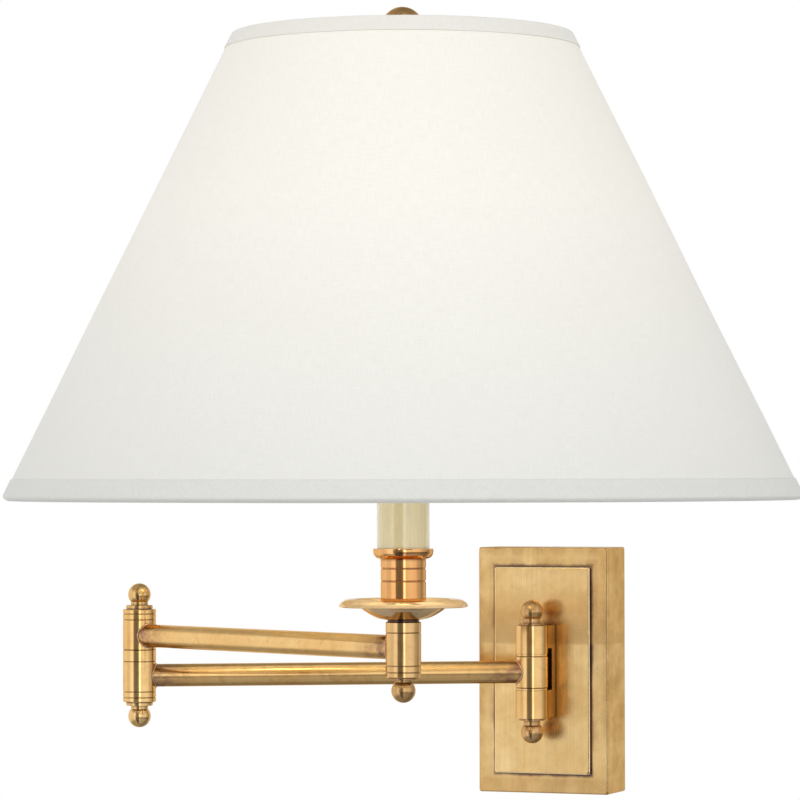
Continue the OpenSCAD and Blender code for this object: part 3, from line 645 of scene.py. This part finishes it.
def wrapped_sheet(name, inner, thick, margin, material):
    """A sheet rolled into the cone, a margin short of its edges, with its end lapped over its start."""
    low, high = margin, SLANT - margin
    lap_turn = LAP / MIDDLE_RADIUS
    climb = lap_turn * 0.5
    up_steps = 36
    turns = [2 * math.pi * i / AROUND for i in range(AROUND)]
    turns += [2 * math.pi + lap_turn * k / 6 for k in range(7)]
    turns = [0, lap_turn * 0.3, lap_turn * 0.6] + turns[3:]
    section_out, section_in, uv_out = [], [], []
    for turn in turns:
        past = turn - (2 * math.pi - climb)
        lift = smooth_step(past / climb) * (thick + 0.00005)
        for k in range(up_steps + 1):
            up = low + (high - low) * k / up_steps
            ripple = soft_wave(SEAM_ANGLE + turn, up, SHEET_WAVE) * math.sin(math.pi * k / up_steps)
            section_in.append(wall_point(SEAM_ANGLE + turn, inner + lift + ripple, up))
            section_out.append(wall_point(SEAM_ANGLE + turn, inner + thick + lift + ripple, up))
            uv_out.append(cut_point(turn, up))
    rows, columns = len(turns), up_steps + 1
    count = rows * columns
    outer = bridged(rows, columns, False, False)
    faces = outer + [tuple(count + v for v in reversed(face)) for face in outer]
    for i in range(rows - 1):
        for j in (0, columns - 1):
            edge = (i * columns + j, (i + 1) * columns + j)
            quad = (edge[0], edge[1], count + edge[1], count + edge[0])
            faces.append(quad if j == 0 else tuple(reversed(quad)))
    for j in range(columns - 1):
        for i in (0, rows - 1):
            edge = (i * columns + j, i * columns + j + 1)
            quad = (edge[0], edge[1], count + edge[1], count + edge[0])
            faces.append(tuple(reversed(quad)) if i == 0 else quad)
    return mesh_piece(name, section_out + section_in, faces, material, UPPER, uv_out + uv_out)


def seam_lift(turn):
    """How far the lapped seam lifts whatever lies on it."""
    fade = 0.004
    away = abs((turn + math.pi) % (2 * math.pi) - math.pi) * MIDDLE_RADIUS
    return (CLOTH + 0.0001) * (1 - smooth_step((away - LAP) / fade))


def swept_ring(name, section, material):
    """Turns a closed section, given as (out, up) points of the wall's frame, once round the lamp."""
    outer_face = -0.0008
    points, uv = [], []
    lengths = [0.0]
    for k in range(1, len(section)):
        lengths.append(lengths[-1] + math.dist(section[k - 1], section[k]))
    for i in range(AROUND):
        turn = 2 * math.pi * i / AROUND
        for k, (out, up) in enumerate(section):
            shift = soft_wave(SEAM_ANGLE + turn, up, TAPE_WAVE)
            if out > outer_face:
                shift += seam_lift(turn)
            points.append(wall_point(SEAM_ANGLE + turn, out + shift, up))
            uv.append((BOTTOM_RADIUS * turn, lengths[k]))
    faces = bridged(AROUND, len(section), True, True)
    return mesh_piece(name, points, faces, material, UPPER, uv)


# Middle of a folded tape, from its outer hem: (out in mm, share of its width), measured from the edge
TAPE_PATH_MM = [
    (-0.26, 1.00), (-0.20, 0.97), (-0.20, 0.70), (-0.22, 0.40), (-0.24, 0.20)
]
# and on round the wire ring to its inner hem: (out, up from the edge), both in mm
TAPE_FOLD_MM = [
    (-0.45, 0.75), (-1.10, 0.28), (-2.10, 0.08), (-3.15, 0.05), (-4.10, 0.50), (-4.75, 1.35), (-4.86, 2.20),
    (-4.55, 3.25), (-3.70, 4.05), (-2.60, 4.70), (-1.98, 5.80), (-1.92, 7.40)
]
TAPE_THICKNESS = 0.00042


def offset_path(path, distance):
    """Points beside a path, at that distance to its left."""
    moved = []
    for k, point in enumerate(path):
        before, after = path[max(k - 1, 0)], path[min(k + 1, len(path) - 1)]
        dx, dy = after[0] - before[0], after[1] - before[1]
        size = math.hypot(dx, dy)
        moved.append((point[0] - dy / size * distance, point[1] + dx / size * distance))
    return moved


def curve_point(before, start, end, after, t):
    """Point at t of the Catmull-Rom span from start to end."""
    linear = end - before
    square = 2 * before - 5 * start + 4 * end - after
    cube = 3 * start - before - 3 * end + after
    return (2 * start + linear * t + square * t * t + cube * t ** 3) / 2


def smooth_path(points, steps):
    """Catmull-Rom curve through the points."""
    curve = []
    for i in range(len(points) - 1):
        a, b = points[max(i - 1, 0)], points[i]
        c, d = points[i + 1], points[min(i + 2, len(points) - 1)]
        for k in range(steps):
            t = k / steps
            curve.append(tuple(curve_point(*values, t) for values in zip(a, b, c, d)))
    curve.append(tuple(points[-1]))
    return curve


def tape(name, width, at_top, material):
    """A tape folded over the bottom or top edge of the wall and round its wire."""
    path = [(out * MM, share * width) for out, share in TAPE_PATH_MM]
    path += [(out * MM, up * MM) for out, up in TAPE_FOLD_MM]
    path = smooth_path(path, 3)
    section = offset_path(path, TAPE_THICKNESS / 2) + offset_path(path, -TAPE_THICKNESS / 2)[::-1]
    if at_top:
        section = [(out, SLANT - up) for out, up in section][::-1]
    return swept_ring(name, section, material)


def swept_tube(name, path, radius, material, body, closed=False, sides=12):
    """Round bar along a path. radius is a number, or one number for each point."""
    count = len(path)
    path = [Vector(point) for point in path]
    points, normal = [], None
    for i, point in enumerate(path):
        before = path[i - 1] if closed or i > 0 else point
        after = path[(i + 1) % count] if closed or i < count - 1 else point
        tangent = (after - before).normalized()
        if normal is None:
            normal = tangent.orthogonal()
        normal = (normal - tangent * normal.dot(tangent)).normalized()
        side = tangent.cross(normal)
        size = radius[i] if hasattr(radius, "__len__") else radius
        for k in range(sides):
            angle = 2 * math.pi * k / sides
            points.append(point + (normal * math.cos(angle) + side * math.sin(angle)) * size)
    faces = bridged(count, sides, closed, True)
    if not closed:
        faces.append(tuple(range(sides))[::-1])
        faces.append(tuple((count - 1) * sides + k for k in range(sides)))
    return mesh_piece(name, points, faces, material, body)


def lathe(name, outline, material, body):
    """Solid turned about the lamp's axis from (radius, z) points that start and end on the axis."""
    sides = 48
    inner = outline[1:-1]
    points = [(LAMP.x, LAMP.y, outline[0][1]), (LAMP.x, LAMP.y, outline[-1][1])]
    for i in range(sides):
        angle = 2 * math.pi * i / sides
        points += [(LAMP.x + r * math.cos(angle), LAMP.y + r * math.sin(angle), z) for r, z in inner]
    count = len(inner)
    faces = []
    for i in range(sides):
        here, there = 2 + i * count, 2 + (i + 1) % sides * count
        faces.append((0, there, here))
        faces.append((1, here + count - 1, there + count - 1))
        for k in range(count - 1):
            faces.append((here + k, there + k, there + k + 1, here + k + 1))
    return mesh_piece(name, points, faces, material, body)


BRAZE_RADIUS = 0.00042


def braze_bead(name, origin, heading, z, facing, body, material):
    """Bead in the corner where a tube meets the knuckle at origin, on its side facing 1 or -1."""
    steps = 56
    lump_frequency = 900
    tube, barrel = TUBE_RADIUS + BRAZE_RADIUS * 0.3, BARREL_RADIUS + BRAZE_RADIUS * 0.3
    path, radii = [], []
    for i in range(steps):
        angle = 2 * math.pi * i / steps
        across, up = tube * math.cos(angle), tube * math.sin(angle)
        along = facing * math.sqrt(barrel * barrel - across * across)
        path.append((origin.x + along * math.cos(heading) - across * math.sin(heading),
                     origin.y + along * math.sin(heading) + across * math.cos(heading), z + up))
        lump = noise.noise(Vector(path[-1]) * lump_frequency)
        radii.append(BRAZE_RADIUS * (1 + 0.3 * lump))
    bead = swept_tube(name, path, radii, material, body, closed=True, sides=8)


def braze_beads():
    material = braze()
    braze_bead("braze_wall", WALL_AXIS, LOWER_HEADING, LOWER_ARM_Z, 1, LOWER, material)
    braze_bead("braze_elbow_lower", ELBOW, LOWER_HEADING, LOWER_ARM_Z, -1, LOWER, material)
    braze_bead("braze_elbow_upper", ELBOW, UPPER_HEADING, UPPER_ARM_Z, 1, UPPER, material)
    braze_bead("braze_lamp", LAMP, UPPER_HEADING, UPPER_ARM_Z, -1, UPPER, material)


# ---- studio ----

CAMERA_AZIMUTH = math.radians(21.584)
CAMERA_PITCH = math.radians(1.027)
CAMERA_ROLL = math.radians(-0.10)
CAMERA_DISTANCE = 1.9211
CAMERA_LENS_MM = 180.1
AIM_RIGHT, AIM_HEIGHT = -0.0014, 0.1397


def camera():
    """A long lens, a little to the right of the object, looking very slightly upwards."""
    back = Vector((math.sin(CAMERA_AZIMUTH), -math.cos(CAMERA_AZIMUTH), 0))
    level_right = Vector((math.cos(CAMERA_AZIMUTH), math.sin(CAMERA_AZIMUTH), 0))
    forward = -back * math.cos(CAMERA_PITCH) + Vector((0, 0, math.sin(CAMERA_PITCH)))
    level_up = level_right.cross(forward)
    right = level_right * math.cos(CAMERA_ROLL) + level_up * math.sin(CAMERA_ROLL)
    up = level_up * math.cos(CAMERA_ROLL) - level_right * math.sin(CAMERA_ROLL)
    aim = Vector((LAMP.x, LAMP.y, AIM_HEIGHT)) + level_right * AIM_RIGHT
    data = bpy.data.cameras.new("camera")
    data.lens = CAMERA_LENS_MM
    data.sensor_width = 36
    camera_object = bpy.data.objects.new("camera", data)
    bpy.context.scene.collection.objects.link(camera_object)
    turn = Matrix((right, up, -forward)).transposed().to_4x4()
    camera_object.matrix_world = Matrix.Translation(aim - forward * CAMERA_DISTANCE) @ turn
    bpy.context.scene.camera = camera_object


ENVIRONMENT_PEAK = 3.0
# Brightness of the surroundings at each azimuth in degrees: 0 is in front of the plate, + is to its right
ROUND_THE_ROOM = [
    (-180, 0.75), (-165, 0.70), (-150, 1.00), (-78, 1.15), (-66, 1.00), (-48, 1.00), (-38, 1.35),
    (-20, 1.40), (-15, 0.34), (-6, 0.24), (10, 0.23), (18, 0.34), (22, 0.70), (24, 2.60), (31, 2.60),
    (35, 1.15), (62, 1.25), (90, 1.10), (100, 0.75), (118, 0.65), (126, 0.45), (140, 0.55), (150, 0.85),
    (168, 0.90), (180, 0.75)
]
# and how much of it is left at each height, as the sine of the elevation, to the left and to the right
UP_THE_LEFT = [
    (-1, 0.38), (-0.58, 0.44), (-0.48, 0.92), (-0.42, 1.0), (0.44, 1.0), (0.58, 0.52), (1, 0.46)
]
UP_THE_RIGHT = [
    (-1, 0.38), (-0.55, 0.42), (-0.40, 0.40), (-0.31, 0.24), (-0.17, 0.24), (-0.11, 0.95), (-0.08, 1.0),
    (0.45, 1.0), (0.80, 0.80), (1, 0.50)
]
# Share of the right-hand profile at each azimuth
LEFT_TO_RIGHT = [(-180, 0), (-20, 0), (10, 1), (120, 1), (160, 0), (180, 0)]


def ramp(tree, value, stops, low, high, peak=1.0):
    """Grey level along the stops, as a share of the peak."""
    spread = tree.nodes.new("ShaderNodeMapRange")
    spread.inputs["From Min"].default_value = low
    spread.inputs["From Max"].default_value = high
    tree.links.new(value, spread.inputs["Value"])
    node = tree.nodes.new("ShaderNodeValToRGB")
    elements = node.color_ramp.elements
    while len(elements) > 1:
        elements.remove(elements[-1])
    for index, (place, level) in enumerate(stops):
        share = (place - low) / (high - low)
        element = elements[0] if index == 0 else elements.new(share)
        element.position = share
        element.color = (level / peak,) * 3 + (1.0,)
    tree.links.new(spread.outputs["Result"], node.inputs["Fac"])
    return node.outputs["Color"]


def blended(tree, blend, amount, a, b):
    """Output that mixes two colours, by the amount or in full."""
    node = tree.nodes.new("ShaderNodeMix")
    node.data_type = "RGBA"
    node.blend_type = blend
    if amount is None:
        node.inputs["Factor"].default_value = 1.0
    else:
        tree.links.new(amount, node.inputs["Factor"])
    colours = [socket for socket in node.inputs if socket.type == "RGBA"]
    tree.links.new(a, colours[0])
    tree.links.new(b, colours[1])
    return [socket for socket in node.outputs if socket.type == "RGBA"][0]


def computed(tree, operation, *values):
    """Output of a Math node fed with outputs or numbers."""
    node = tree.nodes.new("ShaderNodeMath")
    node.operation = operation
    for socket, value in zip(node.inputs, values):
        if isinstance(value, bpy.types.NodeSocket):
            tree.links.new(value, socket)
        else:
            socket.default_value = value
    return node.outputs["Value"]


def surroundings():
    """White to the camera, and for light and reflections a studio with a dark flag and bright sides."""
    world = bpy.data.worlds.new("studio")
    bpy.context.scene.world = world
    world.use_nodes = True
    tree = world.node_tree
    direction = tree.nodes.new("ShaderNodeTexCoord").outputs["Generated"]
    split = tree.nodes.new("ShaderNodeSeparateXYZ")
    tree.links.new(direction, split.inputs["Vector"])
    towards_room = computed(tree, "MULTIPLY", split.outputs["Y"], -1)
    azimuth = computed(tree, "ARCTAN2", split.outputs["X"], towards_room)
    degrees = computed(tree, "DEGREES", azimuth)
    around = ramp(tree, degrees, ROUND_THE_ROOM, -180, 180, ENVIRONMENT_PEAK)
    side = ramp(tree, degrees, LEFT_TO_RIGHT, -180, 180)
    up_left = ramp(tree, split.outputs["Z"], UP_THE_LEFT, -1, 1)
    up_right = ramp(tree, split.outputs["Z"], UP_THE_RIGHT, -1, 1)
    upward = blended(tree, "MIX", side, up_left, up_right)
    both = blended(tree, "MULTIPLY", None, around, upward)
    room = tree.nodes["Background"]
    room.inputs["Strength"].default_value = ENVIRONMENT_PEAK
    tree.links.new(both, room.inputs["Color"])
    paper = tree.nodes.new("ShaderNodeBackground")
    paper.inputs["Color"].default_value = rgba(1, 1, 1)
    chooser = tree.nodes.new("ShaderNodeMixShader")
    seen = tree.nodes.new("ShaderNodeLightPath").outputs["Is Camera Ray"]
    tree.links.new(seen, chooser.inputs["Fac"])
    tree.links.new(room.outputs["Background"], chooser.inputs[1])
    tree.links.new(paper.outputs["Background"], chooser.inputs[2])
    tree.links.new(chooser.outputs["Shader"], tree.nodes["World Output"].inputs["Surface"])


def softbox(name, azimuth, elevation, distance, size, power, mirrored):
    """Area light that looks at the middle of the object. mirrored says that polished metal shows it."""
    a, e = math.radians(azimuth), math.radians(elevation)
    away = Vector((math.sin(a) * math.cos(e), -math.cos(a) * math.cos(e), math.sin(e)))
    data = bpy.data.lights.new(name, "AREA")
    data.shape = "RECTANGLE"
    data.size = size
    data.size_y = size
    data.energy = power
    light = bpy.data.objects.new(name, data)
    light.visible_glossy = mirrored
    bpy.context.scene.collection.objects.link(light)
    light.location = (Vector(cad_box[0]) + Vector(cad_box[1])) / 2 + away * distance
    light.rotation_mode = "QUATERNION"
    light.rotation_quaternion = away.to_track_quat("Z", "Y")


FLOOR_DROP = 2.4
FLOOR_HALF_SIZE = 6.0


def floor():
    """Plain pale floor well under the sconce, which hangs on a wall."""
    shader = Shader("pale_floor")
    mottle = shader.noise(shader.cells((0.3,) * 3), detail=3)
    shader.set(Base_Color=shader.mix(mottle, rgba(0.80, 0.80, 0.79), rgba(0.84, 0.84, 0.83)), Roughness=0.9)
    half = FLOOR_HALF_SIZE
    mesh = bpy.data.meshes.new("floor")
    corners = [(-half, -half), (half, -half), (half, half), (-half, half)]
    mesh.from_pydata([(x, y, -FLOOR_DROP) for x, y in corners], [], [(0, 1, 2, 3)])
    mesh.materials.append(shader.material)
    plane = bpy.data.objects.new("floor", mesh)
    bpy.context.scene.collection.objects.link(plane)
    plane.visible_glossy = False


# ---- materials onto the CAD nodes ----

def dress(material, *nodes):
    for node in nodes:
        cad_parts[node].data.materials.clear()
        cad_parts[node].data.materials.append(material)


def brushed_plate():
    """Brass of the wall plate, with highlights drawn out across its upright brushing."""
    plate = brass("brass_brushed", brushed_grain, 0.22, base=BRASS_LIGHT, pale=rgba(0.95, 0.72, 0.38),
                  brown=rgba(0.62, 0.39, 0.15), grain=0.0000012, crevice_reach=0.0010, amount=0.9,
                  streak=0.30, extra_tone=plate_oxide_and_painted_light, Anisotropic=0.45)
    tree = plate.node_tree
    tangent = tree.nodes.new("ShaderNodeTangent")
    tangent.direction_type = "RADIAL"
    tangent.axis = "Z"
    tree.links.new(tangent.outputs["Tangent"], tree.nodes["Principled BSDF"].inputs["Tangent"])
    return plate


def dress_wall_mount():
    at_wall = turned_grain(WALL_AXIS)
    bracket = brass("brass_bracket", at_wall, 0.12, base=BRASS_WALL_PIVOT, extra_tone=bracket_painted_shade)
    turned = brass("brass_turned_wall", at_wall, 0.12, base=BRASS_WALL_PIVOT)
    dress(brushed_plate(), "backplate_shell", "raised_panel", "plate_set_screws")
    dress(bracket, "pivot_bracket")
    dress(turned, "wall_knuckle", "wall_pivot_washers", "wall_pivot_pin")


def dress_balls():
    handled = brass("brass_handled", even_grain, 0.25, base=rgba(0.52, 0.305, 0.125),
                    pale=rgba(0.65, 0.41, 0.19), brown=rgba(0.32, 0.16, 0.06), amount=1.4,
                    grain=0.0000004)
    rubbed = brass("brass_rubbed", even_grain, 0.19, base=rgba(0.70, 0.45, 0.18), amount=1.3,
                   grain=0.0000003)
    dress(handled, "wall_top_ball_nut", "wall_bottom_ball_nut", "lamp_ball_nut", "finial")
    dress(rubbed, "elbow_bottom_ball_nut", "elbow_top_ball_nut")


def dress_arms():
    turned = brass("brass_turned_elbow", turned_grain(ELBOW), 0.12)
    lower = brass("brass_drawn_lower", drawn_grain(WALL_AXIS, LOWER_HEADING), 0.19,
                  extra_tone=soldered_ends(WALL_AXIS, LOWER_HEADING))
    upper = brass("brass_drawn_upper", drawn_grain(ELBOW, UPPER_HEADING), 0.19,
                  extra_tone=soldered_ends(ELBOW, UPPER_HEADING))
    dress(turned, "elbow_lower_barrel", "elbow_upper_barrel", "elbow_spacer", "elbow_pipe")
    dress(lower, "lower_arm_tube")
    dress(upper, "upper_arm_tube")


def dress_lamp():
    at_lamp = turned_grain(LAMP)
    turned = brass("brass_turned_lamp", at_lamp, 0.12, base=rgba(0.64, 0.40, 0.165),
                   pale=rgba(0.74, 0.49, 0.235), extra_tone=pan_seat_painted_shade)
    # The cup's redder brass is a painted reflection of the warm brass round it
    cup = brass("brass_cup", at_lamp, 0.045, base=rgba(0.73, 0.375, 0.14), pale=rgba(0.88, 0.57, 0.28),
                grain=0.0000006)
    # The pan's paler brass is a painted reflection of the white shade above it
    spun = brass("brass_spun", at_lamp, 0.11, base=rgba(0.86, 0.64, 0.39), pale=rgba(0.94, 0.76, 0.50),
                 extra_tone=pan_seat_painted_shade)
    plated = brass("brass_plated", at_lamp, 0.16, base=BRASS_PLATING, amount=0.4)
    dress(turned, "lamp_knuckle", "centre_contact", "lamp_pipe", "bracket_nipple")
    dress(cup, "candle_cup")
    dress(spun, "drip_pan")
    dress(plated, "harp_ferrules", "harp_saddle", "socket_cap", "socket_shell")


def dress_the_rest():
    dress(zinc_steel(), "mounting_strap", "bracket_lock_nut", "bracket_lock_washer")
    dress(green_metal(), "ground_screw")
    dress(candle_resin(), "candle_sleeve")
    dress(phenolic(), "socket_body", "switch_key")
    dress(paperboard(), "socket_insulator")
    dress(wire_jacket(), "lower_arm_wire", "upper_arm_wire")
    dress(aluminium(), "screw_shell", "bulb_base")
    dress(lit_bulb(), "bulb_glass")
    dress(hot_filament(), "bulb_filament")
    dress(painted_wire(), "shade_spider", "shade_bottom_ring")


# ---- the shade and the harp ----

def binding_width(node):
    """Width of the tape that a binding node shows on the outside of the shade."""
    ups = [(vertex.co.z - BOTTOM_Z) / math.cos(LEAN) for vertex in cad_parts[node].data.vertices]
    return min(max(ups), SLANT) - max(min(ups), 0)


def shade():
    """Linen cover with its lap seam, the liner inside it, and the two tapes."""
    cover = wrapped_sheet("shade_cover", COVER_INNER, CLOTH, 0.0004, linen())
    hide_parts("shade_fabric")
    liner = wrapped_sheet("shade_lining", COVER_INNER - STYRENE, STYRENE, 0.0006, styrene_liner())
    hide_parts("shade_liner")
    cloth = tape_cloth()
    bottom = tape("bottom_tape", binding_width("shade_bottom_binding"), False, cloth)
    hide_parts("shade_bottom_binding")
    top = tape("top_tape", binding_width("shade_top_binding"), True, cloth)
    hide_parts("shade_top_binding")


HARP_WIRE = 0.0016
HARP_HALF_WIDTH = 0.054
# Side of the harp from its foot to its top: (share of the half width, share of the rise)
HARP_SIDE = [
    (0.559, 0), (0.559, 0.058), (0.72, 0.17), (0.92, 0.33), (1, 0.51), (0.93, 0.70), (0.71, 0.86),
    (0.36, 0.965)
]


LOOP_BELOW_STUD_TOP = 0.0132
HUB_RADIUS, HUB_HEIGHT, HUB_BELOW_STUD_TOP = 0.0060, 0.0022, 0.011
STUD_RADIUS = 0.00315


def collar_outline(stud_top):
    """Hub and stud on top of the harp, as (radius, z) points."""
    chamfer = 0.0004
    hub_top = stud_top - HUB_BELOW_STUD_TOP
    hub_low = hub_top - HUB_HEIGHT
    return [
        (0, hub_low),
        (HUB_RADIUS - chamfer, hub_low),
        (HUB_RADIUS, hub_low + chamfer),
        (HUB_RADIUS, hub_top - chamfer),
        (HUB_RADIUS - chamfer, hub_top),
        (STUD_RADIUS, hub_top),
        (STUD_RADIUS, stud_top - chamfer),
        (STUD_RADIUS - 0.00045, stud_top),
        (0, stud_top),
    ]


def harp():
    """Brass wire loop round the bulb, with its collar and stud, smoother than the CAD's faceted wire."""
    foot, stud_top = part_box("harp")[0][2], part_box("harp")[1][2]
    loop_top = stud_top - LOOP_BELOW_STUD_TOP
    rise = loop_top - foot
    side = [(share * HARP_HALF_WIDTH, foot + up * rise) for share, up in HARP_SIDE]
    other_side = [(-across, z) for across, z in reversed(side)]
    outline = smooth_path(side + [(0, loop_top)] + other_side, 6)
    path = [(LAMP.x + across * math.cos(UPPER_HEADING), LAMP.y + across * math.sin(UPPER_HEADING), z)
            for across, z in outline]
    plated = brass("brass_harp", even_grain, 0.18, base=BRASS_PLATING, amount=0.5)
    loop = swept_tube("harp_loop", path, HARP_WIRE, plated, UPPER)
    collar = lathe("harp_collar", collar_outline(stud_top), plated, UPPER)
    for piece in (loop, collar):
        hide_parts("harp")


SPOKES = 3
# Weld blob along a spoke: (distance outwards from the ring's middle, radius of the blob)
WELD_OUTLINE = [(-0.0052, 0.0010), (-0.0040, 0.0018), (-0.0028, 0.0021), (-0.0019, 0.0014)]
WELD_SLOPE = 0.12


def spoke_welds():
    """Blob of enamelled weld where each spoke meets the shade's top ring."""
    ring_radius = TOP_RADIUS - 0.0020
    ring_z = TOP_Z - 0.0033
    weld_end = WELD_OUTLINE[-1][0]
    material = painted_wire()
    for i in range(SPOKES):
        angle = UPPER_HEADING + math.radians(90 + 360 * i / SPOKES)
        path, radii = [], []
        for along, radius in WELD_OUTLINE:
            reach = ring_radius + along
            rise = (along - weld_end) * WELD_SLOPE
            path.append((LAMP.x + reach * math.cos(angle), LAMP.y + reach * math.sin(angle), ring_z + rise))
            radii.append(radius)
        weld = swept_tube(f"spoke_weld_{i + 1}", path, radii, material, UPPER)


def main():
    camera()
    surroundings()
    softbox("key", azimuth=58, elevation=36, distance=2.4, size=1.2, power=4, mirrored=True)
    softbox("front", azimuth=34, elevation=6, distance=2.6, size=1.6, power=12, mirrored=False)
    softbox("fill", azimuth=-50, elevation=24, distance=2.6, size=1.4, power=6.5, mirrored=False)
    floor()
    dress_wall_mount()
    dress_balls()
    dress_arms()
    dress_lamp()
    dress_the_rest()
    shade()
    harp()
    spoke_welds()
    braze_beads()
    bpy.context.scene.view_settings.view_transform = "Standard"


main()
